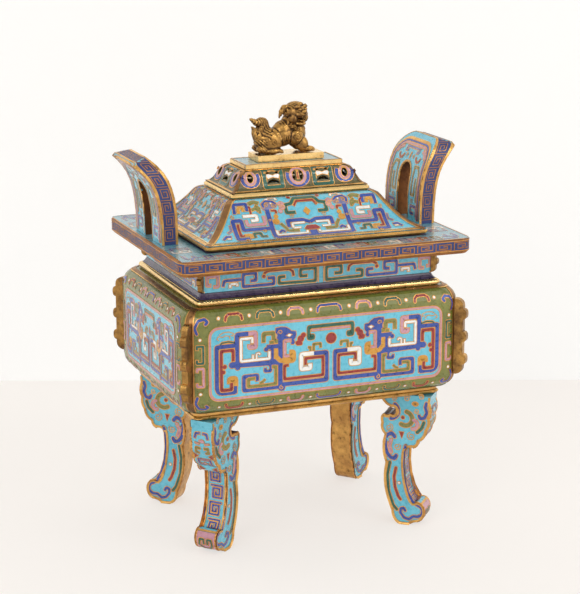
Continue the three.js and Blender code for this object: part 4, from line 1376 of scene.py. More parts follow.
DRAGON_STROKES: list[tuple[Finish, float, int, Path]] = [
    (Finish.COBALT, 2.6, 0, [(-61.8, 111), (-71, 111), (-73.2, 112), (-74.2, 114.5), (-74.2, 141.4),
                             (-61.5, 141.4)]),
    (Finish.COBALT, 2.2, 0, [(-61.9, 110.2), (-61.9, 115)]),
    (Finish.COBALT, 2.8, 0, [(-60.6, 130), (-60.6, 148.2), (-53, 148.2)]),
    (Finish.COBALT, 3.8, 0, [(-63.5, 128.9), (-33, 127.9)]),
    (Finish.COBALT, 3.0, 0, [(-31.5, 143), (-31.5, 111.5)]),
    (Finish.COBALT, 2.6, 0, [(-31.4, 138.2), (-40.6, 138.2)]),
    (Finish.COBALT, 2.4, 0, [(-37.2, 138), (-37.2, 128)]),
    (Finish.COBALT, 2.2, 0, [(-47.2, 116.8), (-47.2, 120.4), (-56.2, 120.4), (-56.2, 111.2), (-31, 111.2)]),
    (Finish.COBALT, 2.6, 0, [(-30, 112.6), (0.2, 112.6), (0.2, 130.8), (-9, 130.8)]),
    (Finish.COBALT, 1.6, 0, [(-40, 127.6), (-38, 125.6), (-38, 122.4), (-41.8, 122.4), (-41.8, 124.6)]),
    (Finish.PINK, 2.6, 0, [(-53, 148.2), (-48.3, 148.2), (-48.3, 139.2), (-52.2, 139.2), (-52.2, 141)]),
    (Finish.PINK, 1.5, 1, [(-24.4, 141.1), (-28.6, 141.1), (-28.6, 131), (-25.4, 131)]),
    (Finish.WHITE, 1.5, 1, [(-50.4, 142), (-50.4, 145.2), (-58, 145.2), (-58, 130.7), (-39, 130.7),
                            (-39, 135.4)]),
    (Finish.WHITE, 0.9, 1, [(-50, 131.4), (-50, 134)]),
    (Finish.WHITE, 0.9, 1, [(-47.6, 131.4), (-47.6, 134.6), (-46, 135), (-45.2, 134)]),
    (Finish.WHITE, 2.6, 0, [(-8.6, 131), (-17.2, 131), (-17.2, 121.4), (-11.2, 121.4), (-11.2, 124.4)]),
    (Finish.RED, 1.8, 1, [(-64.4, 117.4), (-64.4, 112.9), (-71.2, 112.9), (-71.2, 138.6), (-63.2, 138.6),
                          (-63.2, 131.5)]),
    (Finish.RED, 1.6, 1, [(-14.4, 124), (-14.4, 128.2), (-2.2, 128.2), (-2.2, 115.9), (-28.8, 115.9),
                          (-28.8, 124.9), (-26, 124.9)]),
    (Finish.OCHRE, 3.0, 0, [(-61.9, 115), (-61.9, 119.8), (-65.6, 119.8), (-65.6, 117.2)]),
    (Finish.OCHRE, 3.0, 0, [(-34.4, 136), (-34.4, 131.4), (-31.6, 128.4), (-22.8, 128), (-22.8, 133),
                            (-25, 133)]),
    (Finish.OLIVE, 2.2, 0, [(-42.8, 141.6), (-42.8, 147.1), (-36, 147.1), (-36, 141.6), (-33, 141.4)]),
    (Finish.OLIVE, 1.8, 1, [(-38.6, 141), (-36, 141)]),
    (Finish.OLIVE, 1.6, 1, [(-48.6, 118.6), (-53.2, 118.6), (-53.2, 113.4), (-34.6, 113.4), (-34.6, 125),
                            (-37, 125)]),
    (Finish.OLIVE, 1.1, 0, [(-45.4, 114.9), (-43.4, 115.8), (-42, 117.2)]),
    (Finish.OLIVE, 1.0, 0, [(-12.4, 135.2), (-11, 135.2), (-11, 132.8)]),
    (Finish.OLIVE, 1.2, 0, [(-8.8, 132.8), (-8.8, 137), (-4, 137), (-4, 134.4)]),
    (Finish.LEAF, 0.9, 0, [(-71.8, 142.6), (-70.5, 143.8), (-66, 144.2), (-62.4, 143.2)]),
    (Finish.LEAF, 2.0, 0, [(-10.6, 142.6), (-9, 142.8), (-9, 140.9), (-12.2, 140.9), (-12.2, 148.5),
                           (3.2, 148.5)]),
    (Finish.PINK, 1.1, 1, [(-10.2, 146.3), (3.2, 146.3)]),
]
DRAGON_DISCS: list[tuple[Finish, float, int, Point]] = [
    (Finish.COBALT, 2.0, 0, (-64, 128.8)), (Finish.COBALT, 1.6, 0, (-60.2, 126.8)),
    (Finish.COBALT, 1.4, 0, (-41, 136.8)), (Finish.COBALT, 1.4, 0, (-37.6, 139)),
    (Finish.COBALT, 2.4, 0, (-30.7, 110.8)),
    (Finish.RED, 1.3, 1, (-69, 128.2)), (Finish.RED, 1.2, 1, (-69.8, 124.8)),
    (Finish.RED, 1.6, 0, (-15.8, 143.6)), (Finish.RED, 2.1, 0, (-17.6, 141.4)),
    (Finish.RED, 1.6, 0, (-19.4, 138.9)), (Finish.RED, 1.2, 0, (-17.8, 138.4)),
]
DRAGON_HEAD: Path = [
    (-34.6, 150), (-31, 150.4), (-27.6, 149.9), (-25.4, 148.6), (-23.8, 147), (-22.4, 147), (-21, 146.6),
    (-20.8, 144.4), (-21.2, 142.6), (-22.4, 141.4), (-21.6, 139.6), (-22.6, 138.2), (-24, 138.4),
    (-24.4, 141),
    (-26, 142.6), (-28.6, 141.8), (-30.4, 141.4), (-31.6, 143), (-34, 142.9), (-33.4, 145.4), (-34.8, 147.2),
]


# Neck, rim, lid, handles and legs

SKIRT_SHARES = [(0, 0), (0.15, 0.055), (0.25, 0.12), (0.34, 0.21), (0.44, 0.325), (0.53, 0.45), (0.62, 0.59),
                (0.70, 0.72), (0.75, 0.815), (0.80, 0.90), (0.87, 0.975), (1, 1)]
GALLERY_SHARES = [(0, 0), (0.14, 0.06), (0.27, 0.19), (0.33, 0.30), (0.38, 0.42), (0.44, 0.57), (0.5, 0.7),
                  (0.55, 0.80), (0.62, 0.88), (0.78, 0.97), (0.94, 1)]


@dataclass
class NeckBand:
    """The upright turquoise neck with its squared scrolls."""

    half_long: float = 79.8
    half_short: float = 58.5
    axis: float = 0.9

    def build(self) -> None:
        """Lays all four sides."""
        work = CellWork("neck_cells", "vessel")
        for side in Side:
            half, depth = side.spans(self.half_long, self.half_short)
            face = side.plane("neck_band", depth)
            shrink = half / self.half_long
            for way in (1, -1):
                def fit(path: Path, way: int = way, shrink: float = shrink) -> Path:
                    """Moves a motif to its half of this side."""
                    return [(self.axis + (u - self.axis) * way * shrink, v) for u, v in path]
                for finish, width, path in NECK_STROKES:
                    work.stroke(face, fit(path), width, finish)
                work.line(face, fit([(-0.9, 174.2), (-0.9, 188.6)]), 1, 0.6)
                work.disc(face, fit([(-38.0, 181.4)])[0], 1.1, Finish.RED, 1)
            work.line(face, [(-half + 1.2, 174.4), (half - 1.2, 174.4)], 1, 0.8)
        work.build()


NECK_STROKES: list[tuple[Finish, float, Path]] = [
    (Finish.PINK, 1.5, [(-73.6, 178.5), (-76, 178.5), (-76, 184), (-68.6, 184), (-68.6, 177.4),
                        (-71.4, 177.4)]),
    (Finish.COBALT, 1.7, [(-65.4, 177), (-64.6, 180.6), (-53, 180.6)]),
    (Finish.WHITE, 1.4, [(-60.6, 176), (-60.6, 178.2), (-56, 178.2), (-56, 176.8)]),
    (Finish.COBALT, 1.8, [(-47, 179.2), (-43.4, 179.2), (-43.4, 184), (-52, 184), (-52, 175.8),
                          (-31.2, 175.8),
                          (-31.2, 180), (-35.4, 180)]),
    (Finish.RED, 1.3, [(-38.2, 180.4), (-37.6, 183.4), (-35, 184.6), (-21, 184.6), (-18.4, 183), (-18, 180)]),
    (Finish.LEAF, 1.7, [(-23.6, 180), (-27.8, 180), (-27.8, 175.8), (-2.8, 175.4), (-2.8, 184), (-13.2, 184),
                        (-13.2, 179.2), (-8.6, 179.2)]),
]


@dataclass
class RimWork:
    """The flat rim: a key fret round its edge, and scrolls round its top."""

    half_long: float = 99.2
    half_short: float = 77.9
    corner: float = 8.0
    top: float = 198.8
    width_long: float = 19.6
    width_short: float = 23.4
    pitch: float = 14.6
    handle_half: float = 34.0

    def build(self) -> None:
        """Lays the edge and the top."""
        work = CellWork("rim_cells", "vessel", 0.44)
        for side in Side:
            self.edge(work, side)
            self.upper_face(work, side)
        work.build()

    def edge(self, work: CellWork, side: Side) -> None:
        """Lays one side's copper-lined key fret.

        Args:
            work: The piece.
            side: The side.
        """
        half, depth = side.spans(self.half_long, self.half_short)
        face = RoundedSide("rim", Vector(), side.right, UP, side.out, 1.6, half, depth, self.corner, 0.0,
                           400.0)
        end = half - self.corner + self.corner * math.pi / 4
        work.patch(face, (-end, 189.4, end, 191.2), Finish.COPPER, 0)
        for height in (191.5, 197.8):
            work.line(face, [(-end, height), (end, height)], 1, 0.5)
        work.fret(face, (-end, end), (192.2, 196.9), 15 if side.long else 12, Finish.COPPER, 0.62)

    def upper_face(self, work: CellWork, side: Side) -> None:
        """Lays one side's scrolls on the rim's top, with none under the handles.

        Args:
            work: The piece.
            side: The side.
        """
        half, depth = side.spans(self.half_long, self.half_short)
        width, next_width = side.spans(self.width_long, self.width_short)
        face = side.level("rim", self.top)
        inner, outer = depth - width, depth - 1.6
        inner_end, outer_end = half - next_width, half - 1.8
        work.area(face, [(-inner_end, inner), (inner_end, inner), (outer_end, outer), (-outer_end, outer)],
                  Finish.TEAL, -1, False)
        work.line(face, [(-outer_end + 4, outer + 0.5), (outer_end - 4, outer + 0.5)], 0, 0.5)
        count = int((half - 22) / self.pitch)
        for k in range(-count, count + 1):
            centre = k * self.pitch
            if not side.long and abs(centre) < self.handle_half:
                continue
            for step, (shift, low, high) in enumerate(((-3.9, 0.30, 0.80), (3.5, 0.36, 0.86))):
                lo, hi = (inner + (outer - inner) * share for share in (low, high))
                way = -1 if (k + step) % 2 else 1
                path = [(centre + shift + way * u, v) for u, v in (
                    (-2.8, hi), (2.8, hi), (2.8, lo), (-2.0, lo), (-2.0, (lo + hi) / 2),
                    (0.6, (lo + hi) / 2))]
                work.stroke(face, path, 1.35, RIM_COLOURS[(2 * k + step) % len(RIM_COLOURS)])
        for sign in (-1, 1):
            c, m = sign * (half - 12.5), (inner + outer) / 2 + 2
            lappet = [(c + sign * u, m + v) for u, v in ((-6, 3.6), (3.4, 3.6), (1.2, -2.6), (-4, -2.6))]
            work.stroke(face, lappet, 1.6, Finish.COBALT)


RIM_COLOURS = [Finish.LILAC, Finish.WHITE, Finish.COBALT, Finish.PINK, Finish.RED, Finish.LEAF]


@dataclass
class LidSkirt:
    """The lid's flared turquoise roof with paired scrolls under gilt hips."""

    half_long: float = 75.9
    half_short: float = 58.6
    run_long: float = 28.1
    run_short: float = 31.6
    foot: float = 203.0
    height: float = 22.4
    axis: float = -0.8
    hip_rows: int = 16

    def profile(self, long: bool) -> list[Point]:
        """Gives one side's profile as distances out and heights."""
        half, run = (self.half_short, self.run_short) if long else (self.half_long, self.run_long)
        return [(half - run * a, self.foot + self.height * b) for a, b in SKIRT_SHARES]

    def half_at(self, long: bool, s: float) -> float:
        """Gives how far a side reaches to its hip at a length up its surface.

        Args:
            long: Whether this is a long side.
            s: The length up its surface.

        Returns:
            Half the side's length there.
        """
        half, run = (self.half_long, self.run_long) if long else (self.half_short, self.run_short)
        foot, fall = (self.half_short, self.run_short) if long else (self.half_long, self.run_long)
        rows = self.profile(long)
        (depth, _), _ = travel(rows, min(s, length_of(rows)))
        return half - run * (foot - depth) / fall

    def narrowing(self, s: float) -> float:
        """Gives a short side's reach as a share of a long side's at a length up its surface."""
        return self.half_at(False, s) / self.half_at(True, s)

    def build(self) -> None:
        """Lays all four sides."""
        for side in Side:
            work = CellWork(f"skirt_cells_{side.name.lower()}", "lid", 0.38)
            face = ProfileSide("lid_skirt", Vector(), side.right, UP, side.out, 1.7, self.profile(side.long))
            self.scrolls(work, face, side.long)
            self.trim(work, face, side.long)
            work.build()

    def scrolls(self, work: CellWork, face: ProfileSide, long: bool) -> None:
        """Lays one side's paired scrolls and the motifs between them.

        Args:
            work: The piece.
            face: The face.
            long: Whether this is a long side.
        """
        c = self.axis if long else 0.0
        for way in (1, -1):
            def fit(path: Path, way: int = way) -> Path:
                """Moves a motif to its half of this side, drawn in where the side is narrower."""
                return [(c + way * (u + 1.5) * (1.0 if long else self.narrowing(v)), v) for u, v in path]
            for finish, width, layer, path in SKIRT_STROKES:
                work.stroke(face, fit(path), width * (1.12 if long else 0.9), finish, layer)
            for finish, radius, centre in SKIRT_DISCS:
                work.disc(face, fit([centre])[0], radius * (1 if long else 0.85), finish, 1)
            work.area(face, fit(SKIRT_CLOUD), Finish.LILAC, 0)
            for centre, outer, start, turns in SKIRT_SPIRALS:
                work.line(face, fit(spiral(centre, outer, 0.5, start, turns)), 2)
        for finish, layer, path in SKIRT_MIDDLE:
            work.area(face, [(c + u, v) for u, v in path], finish, layer)

    def trim(self, work: CellWork, face: ProfileSide, long: bool) -> None:
        """Lays one side's gilt foot, hips and upper edge.

        Args:
            work: The piece.
            face: The face.
            long: Whether this is a long side.
        """
        total = length_of(face.profile)
        foot = self.half_at(long, 1.8) - 1.0
        work.patch(face, (-foot, 0.4, foot, 3.1), Finish.GILT, 0)
        work.line(face, [(-foot + 1, 3.4), (foot - 1, 3.4)], 2, 0.6, finish=Finish.BRIGHT)
        heights = [0.6 + (total - 1.2) * k / self.hip_rows for k in range(self.hip_rows + 1)]
        for sign in (-1, 1):
            for inset, half, layer, finish in ((1.5, 1.25, 1, Finish.BROWN), (3.0, 0.35, 2, Finish.GILT)):
                hip = [(sign * (self.half_at(long, v) - inset), v) for v in heights]
                work.strip(face, hip, half, work.height(layer, False), finish)
        end = self.half_at(long, total - 1.0) - 2
        work.line(face, [(-end, total - 1.0), (end, total - 1.0)], 1, 1.0, finish=Finish.GILT)


SKIRT_CLOUD: Path = [(-31, 28), (-31.8, 32.5), (-28, 35.4), (-23, 34.6), (-20.4, 32), (-21.5, 29.5),
                     (-25, 28.2)]
SKIRT_MIDDLE: list[tuple[Finish, int, Path]] = [
    (Finish.OCHRE, 1, [(-2.2, 25), (0, 22.2), (2.2, 25), (0, 27.8)]),
    (Finish.RED, 1, [(-5.4, 11.3), (-3, 13.9), (3, 13.9), (5.4, 11.3), (3.4, 10.4), (-3.4, 10.4)]),
    (Finish.COBALT, 0, [(-2.6, 5.2), (-2.6, 9.8), (2.6, 9.8), (2.6, 5.2)]),
]
SKIRT_STROKES: list[tuple[Finish, float, int, Path]] = [
    (Finish.LEAF, 1.9, 0, [(-9.4, 24.6), (-15.4, 24.6), (-15.4, 30.4), (-11, 31.2), (-8.4, 35.2),
                           (-1.5, 35.2)]),
    (Finish.RED, 1.1, 1, [(-9.4, 29.4), (-7.2, 32.6), (-1.5, 32.6)]),
    (Finish.COBALT, 2.2, 0, [(-16.5, 13.6), (-16.5, 18.8), (-6, 18.8), (-1.5, 16.6)]),
    (Finish.WHITE, 1.1, 1, [(-9, 12.6), (-14, 12.6), (-14, 16.4), (-5.5, 16.4)]),
    (Finish.WHITE, 1.2, 1, [(-26, 11.4), (-26, 7.5), (-6, 7.5), (-5.5, 9.6)]),
    (Finish.OLIVE, 1.5, 0, [(-21.5, 17), (-19.4, 14), (-18, 10.8), (-10.8, 10.4)]),
    (Finish.COBALT, 1.5, 0, [(-28, 5.2), (-1.5, 5.2)]),
    (Finish.COBALT, 2.6, 0, [(-28.2, 5.2), (-28.2, 29)]),
    (Finish.COBALT, 2.3, 0, [(-45.5, 6), (-53.2, 6), (-53.2, 21.5), (-47.4, 21.5), (-47.4, 14), (-29, 14)]),
    (Finish.RED, 1.3, 1, [(-50, 18.8), (-50.6, 17.5), (-50.6, 9), (-48, 9)]),
    (Finish.OCHRE, 1.9, 0, [(-48, 9.6), (-44, 9.6), (-43.6, 6.4)]),
    (Finish.PINK, 1.5, 1, [(-44, 21.5), (-44, 17.5), (-31.8, 17.5), (-31.8, 23.5)]),
    (Finish.WHITE, 1.7, 0, [(-45.4, 24.4), (-36.5, 24.4), (-36.5, 20.8), (-40.6, 20.8)]),
    (Finish.COBALT, 1.8, 0, [(-50.4, 26.6), (-50, 33.2), (-41.6, 33.2), (-41.6, 28)]),
    (Finish.OCHRE, 1.3, 1, [(-47.6, 26.8), (-47.4, 30.6), (-44.4, 30.6), (-44.4, 28)]),
    (Finish.OLIVE, 2.2, 0, [(-39.6, 33), (-36, 34.6), (-33, 33)]),
    (Finish.OLIVE, 1.6, 0, [(-38.6, 28.4), (-35.4, 29.6), (-34, 27.4)]),
    (Finish.WHITE, 1.1, 0, [(-28, 34.9), (-25, 37.0), (-21, 36.7), (-20.4, 34.6)]),
    (Finish.LEAF, 1.5, 0, [(-41.6, 6.6), (-41.6, 10.6), (-37, 10.6), (-37, 7.4), (-33.4, 7.4)]),
    (Finish.COBALT, 1.5, 0, [(-63, 6.8), (-60.4, 9.6), (-57.2, 9.2)]),
    (Finish.WHITE, 0.9, 1, [(-60.2, 7.4), (-58, 7.2)]),
    (Finish.COBALT, 1.3, 1, [(-30.2, 29.4), (-30.6, 32.0), (-27.6, 34.2), (-23.4, 33.4), (-21.4, 31.4)]),
    (Finish.PINK, 1.1, 1, [(-20.2, 31.2), (-18.0, 32.6), (-16.2, 31.2)]),
    (Finish.RED, 1.0, 1, [(-25.6, 27.0), (-22.6, 27.0), (-22.6, 24.8)]),
    (Finish.RED, 1.0, 0, [(-39.6, 25.8), (-39.6, 30.4), (-41.4, 31.6)]),
    (Finish.OLIVE, 1.2, 0, [(-35.6, 31.6), (-33.2, 29.6), (-33.2, 26.0)]),
    (Finish.COBALT, 1.3, 0, [(-24.4, 9.6), (-22.2, 11.6), (-20.4, 9.8)]),
    (Finish.LILAC, 1.2, 0, [(-58.4, 12.4), (-55.6, 14.4), (-55.6, 18.4)]),
]
SKIRT_SPIRALS: list[tuple[Point, float, float, float]] = [
    ((-28.0, 31.4), 1.7, 40, 1.4), ((-23.6, 30.8), 1.6, 200, 1.4), ((-17.6, 29.2), 1.2, 0, 1.2),
    ((-52.6, 24.4), 1.5, 90, 1.5), ((-12.6, 22.0), 1.5, 0, 1.4), ((-34.0, 12.0), 1.4, 60, -1.4),
    ((-28.2, 20.0), 0.9, 0, 1.2), ((-47.6, 4.4), 1.1, 10, 1.3),
]
SKIRT_DISCS: list[tuple[Finish, float, Point]] = [
    (Finish.RED, 1.1, (-11.5, 36.2)), (Finish.PINK, 1.9, (-17.6, 29.2)), (Finish.PINK, 1.3, (-19.4, 26.2)),
    (Finish.OCHRE, 2.1, (-24.2, 18.8)), (Finish.OCHRE, 1.3, (-23.4, 22.6)),
    (Finish.WHITE, 0.6, (-24.8, 32.4)),
]


@dataclass
class Gallery:
    """The pierced gallery: olive ground with ringed and crossed smoke holes."""

    half_long: float = 47.5
    half_short: float = 26.7
    run_long: float = 14.4
    run_short: float = 13.2
    foot: float = 229.0
    height: float = 12.6
    mid_rise: float = 0.63
    waist_rise: float = 0.66

    def build(self) -> None:
        """Lays all four sides."""
        work = CellWork("gallery_cells", "lid", 0.42)
        for side in Side:
            depth, run = (self.half_short, self.run_short) if side.long else (self.half_long, self.run_long)
            profile = [(depth - run * a, self.foot + self.height * b) for a, b in GALLERY_SHARES]
            face = ProfileSide("gallery", Vector(), side.right, UP, side.out, 1.3, profile)
            lengths = [length_of(profile[:k + 1]) for k in range(len(profile))]
            mid, waist = self.up_to(lengths, self.mid_rise), self.up_to(lengths, self.waist_rise)
            for centre in (-32.9, 32.9) if side.long else (-14.6, 14.6):
                way = math.copysign(1, centre)
                work.stroke(face, arc((centre, mid), 5.6, 150, 390, 12, 1.0), 2.3, Finish.COBALT)
                work.stroke(face, ring((centre, mid), 3.3, 12, 1.22), 1.4, Finish.PINK, 1, True, 0)
                work.disc(face, (centre - way * 1.6, mid + 6.2), 0.9, Finish.OCHRE, 1)
            for centre in (-17.2, 17.2) if side.long else (0.0,):
                self.cross_hole(work, face, centre, mid, waist)
            if side.long:
                work.stroke(face, arc((0, mid), 7.2, 160, 380, 14, 0.95), 2.3, Finish.COBALT)
                work.stroke(face, ring((0, mid), 4.9, 14, 1.1), 1.5, Finish.PINK, 1, True, 0)
                work.stroke(face, [(0, mid - 2.2), (0, mid + 2.4)], 0.9, Finish.RED, 1)
                work.disc(face, (0, mid + 3.6), 0.6, Finish.OCHRE, 1)
            self.trim(work, face, side.long, lengths)
        work.build()

    def cross_hole(self, work: CellWork, face: Face, centre: float, mid: float, waist: float) -> None:
        """Lays the green square round a cross-shaped hole and the white wings at its waist.

        Args:
            work: The piece.
            face: The face.
            centre: The hole's middle along u.
            mid: The wall's middle along v.
            waist: The hole's waist along v.
        """
        half, low, high = 5.9, mid - 6.8, mid + 5.6
        square = [(centre - half, low), (centre + half, low), (centre + half, high), (centre - half, high)]
        work.stroke(face, square, 2.6, Finish.LEAF, 0, True, 0.15)
        for way in (-1, 1):
            work.area(face, [(centre + way * u, waist + v) for u, v in GALLERY_WING], Finish.WHITE, 1)

    def trim(self, work: CellWork, face: Face, long: bool, lengths: list[float]) -> None:
        """Lays one side's gilt edges and brown hips.

        Args:
            work: The piece.
            face: The face.
            long: Whether this is a long side.
            lengths: The length up the profile to each of its points.
        """
        half, reach = (self.half_long, self.run_long) if long else (self.half_short, self.run_short)
        edge = half - reach * 0.14 - 0.8
        work.line(face, [(-edge, 1.2), (edge, 1.2)], 1, 1.3, finish=Finish.GILT)
        for sign in (-1, 1):
            hip = [(sign * (half - reach * a - 0.9), s) for (a, _), s in zip(GALLERY_SHARES, lengths)]
            work.strip(face, hip, 0.7, work.height(1, False), Finish.BROWN)
        narrow, top = half - reach * 0.78, lengths[-1] - 1.6
        work.line(face, [(-narrow, top), (narrow, top)], 1, 1.2, finish=Finish.GILT)

    def up_to(self, lengths: list[float], rise: float) -> float:
        """Gives the length up the surface at a share of the height.

        Args:
            lengths: The length up the profile to each of its points.
            rise: A height, as a share of the wall.

        Returns:
            The length up the profile there.
        """
        for (k, (_, low)), (_, high) in zip(enumerate(GALLERY_SHARES), GALLERY_SHARES[1:]):
            if rise <= high:
                return lengths[k] + (lengths[k + 1] - lengths[k]) * (rise - low) / (high - low)
        return lengths[-1]


GALLERY_WING: Path = [(0, 0.5), (3.9, 2.2), (4.4, 0.4), (3.6, -1.3), (0, -0.3)]


@dataclass
class TopPlate:
    """The plate under the lion: turquoise above, with a bright gilt edge."""

    half_long: float = 34.0
    half_short: float = 14.4
    low: float = 241.9
    high: float = 244.7

    def build(self) -> None:
        """Lays the edge and its two lines on the top."""
        work = CellWork("top_plate_edge", "lid", 0.42)
        for side in Side:
            half, depth = side.spans(self.half_long, self.half_short)
            work.patch(side.plane("lid_top_plate", depth),
                       (-half + 0.3, self.low + 0.1, half - 0.3, self.high - 0.1),
                       Finish.BRIGHT, 0)
            work.line(side.level("lid_top_plate", self.high),
                      [(-half + 0.6, depth - 0.7), (half - 0.6, depth - 0.7)],
                      1, 0.9, finish=Finish.GILT)
        work.build()


@dataclass
class Handle:
    """One loop handle: a key-fret edge, and masks on its inner and outer faces."""

    node: str
    sign: float
    half: float = 27.5
    corner: float = 15.0
    foot: float = 199.3
    top: float = 254.8
    slot: float = 8.0
    slot_top: float = 236.8
    lip: float = 111.15
    crest: float = 101.4
    beside_slot: float = 11.0

    def levels(self) -> list[tuple[float, float, float]]:
        """Measures the handle's inner and outer faces on its node at several heights.

        Returns:
            Each height with how far out the inner and the outer face stand there.
        """
        rows = []
        tree, way = tree_of(self.node), Vector((self.sign, 0, 0))
        for z in [199.6 + 3.4 * k for k in range(16)] + [251.2, 251.8, 252.4, 253.0, 253.6, 254.2, 254.6]:
            inner, outer = (tree.ray_cast(Vector((self.sign * x, self.beside_slot, z)) * MM, look)[0]
                            for x, look in ((60, way), (140, -way)))
            if inner is not None and outer is not None:
                rows.append((z, abs(inner.x) / MM, self.lip if z > 250 else abs(outer.x) / MM))
        return rows + [(self.top, self.crest, self.lip)]

    def band(self, loop: Path, inward: bool, levels: list[Spot]) -> LoopBand:
        """Gives the band that a loop in the (y, z) plane sweeps between the handle's faces."""
        return LoopBand(self.node, Vector(), Vector(), Vector(), Vector(), 1.4, self.sign, inward, loop,
                        levels)

    def build(self) -> None:
        """Lays the edge, the slot's wall and both faces."""
        work = CellWork(f"{self.node}_cells", "vessel", 0.44)
        levels = self.levels()
        loop = [(-self.half, self.foot + 6.6 * k) for k in range(6)]
        loop += arc((self.corner - self.half, self.top - self.corner), self.corner, 180, 90, 10)
        loop = without_repeats(loop + [(-y, z) for y, z in reversed(loop)])
        length = length_of(loop)
        edge = self.band(loop, False, levels)
        work.patch(edge, (0.0, 0.02, length, 0.98), Finish.NAVY, -1)
        for v in (0.075, 0.925):
            work.strip_across(edge, length, v, 0.075, Finish.GILT)
        work.fret_across(edge, (2.0, length - 2.0), (0.22, 0.78), 17, Finish.COPPER, 0.42)
        arch = self.arch(self.slot, self.foot)
        # The slot's wall: brown gilding, made darker as painted shade inside the slot.
        work.patch(self.band(arch, True, levels), (0.0, 0.0, length_of(arch), 1.0), Finish.RUSSET, -1)
        for way, x in ((-self.sign, 80), (self.sign, 116)):
            origin, out = Vector((self.sign * x, 0, 0)), Vector((way, 0, 0))
            self.mask(work, CastFace(self.node, origin, Vector((0, 1, 0)), UP, out, 1.6, 12.0))
        work.build()

    def arch(self, half: float, foot: float) -> Path:
        """Gives the slot's outline, or one round it, from a height up and over."""
        return [(-half, foot)] + arc((0, self.slot_top - self.slot), half, 180, 0, 12) + [(half, foot)]

    def mask(self, work: CellWork, face: Face) -> None:
        """Lays one broad face: its border, the squared eyes and lappets, and the ring round the slot.

        Args:
            work: The piece.
            face: The face.
        """
        work.line(face, self.outline(1.2, 251.0), 0, 1.3, finish=Finish.GILT)
        work.stroke(face, self.outline(3.0, 249.4), 1.1, Finish.COBALT)
        work.stroke(face, self.outline(4.8, 247.8), 0.9, Finish.PINK, 1)
        work.line(face, self.arch(9.0, 200.6), 1, 1.1, finish=Finish.GILT)
        for sign in (-1, 1):
            for width, finish, path in MASK_STROKES:
                work.stroke(face, [(u * sign, v) for u, v in path], width, finish)
            for centre, outer, start, turns in MASK_SPIRALS:
                work.line(face, [(u * sign, v) for u, v in spiral(centre, outer, 0.4, start, turns)], 0)
        work.stroke(face, [(0, 239.4), (0, 243)], 1.2, Finish.OCHRE)

    def outline(self, inset: float, top: float) -> Path:
        """Gives the face's own outline, drawn in by an inset, its top at a height.

        Args:
            inset: How far it is drawn in.
            top: Its top's height.

        Returns:
            The outline.
        """
        half, radius = self.half - inset, self.corner - inset
        left = [(-half, 201.0), (-half, 220.0)] + arc((radius - half, top - radius), radius, 180, 90, 8)
        return left + [(-u, v) for u, v in reversed(left)]


MASK_STROKES: list[tuple[float, Finish, Path]] = [
    (1.3, Finish.OLIVE, [(20.6, 213), (20.6, 231), (17.8, 235.5), (12.6, 235.5), (12.6, 217), (17, 217),
                         (17, 228)]),
    (1.2, Finish.RED, arc((12.6, 241.6), 3.4, 190, 350, 6)),
    (1.3, Finish.LILAC, [(0, 246.2), (9.4, 246.2), (9.4, 243.6), (6.6, 243.6)]),
    (1.3, Finish.PINK, [(20.4, 241.4), (17.6, 244.4), (14.4, 245.6)]),
    (1.6, Finish.COBALT, [(21.4, 203), (21.4, 209.4), (13, 209.4), (13, 204.6), (17.6, 204.6)]),
]
MASK_SPIRALS: list[tuple[Point, float, float, float]] = [
    ((14.8, 212.6), 1.8, 0, 1.3), ((5.0, 240.8), 1.5, 180, -1.3),
]


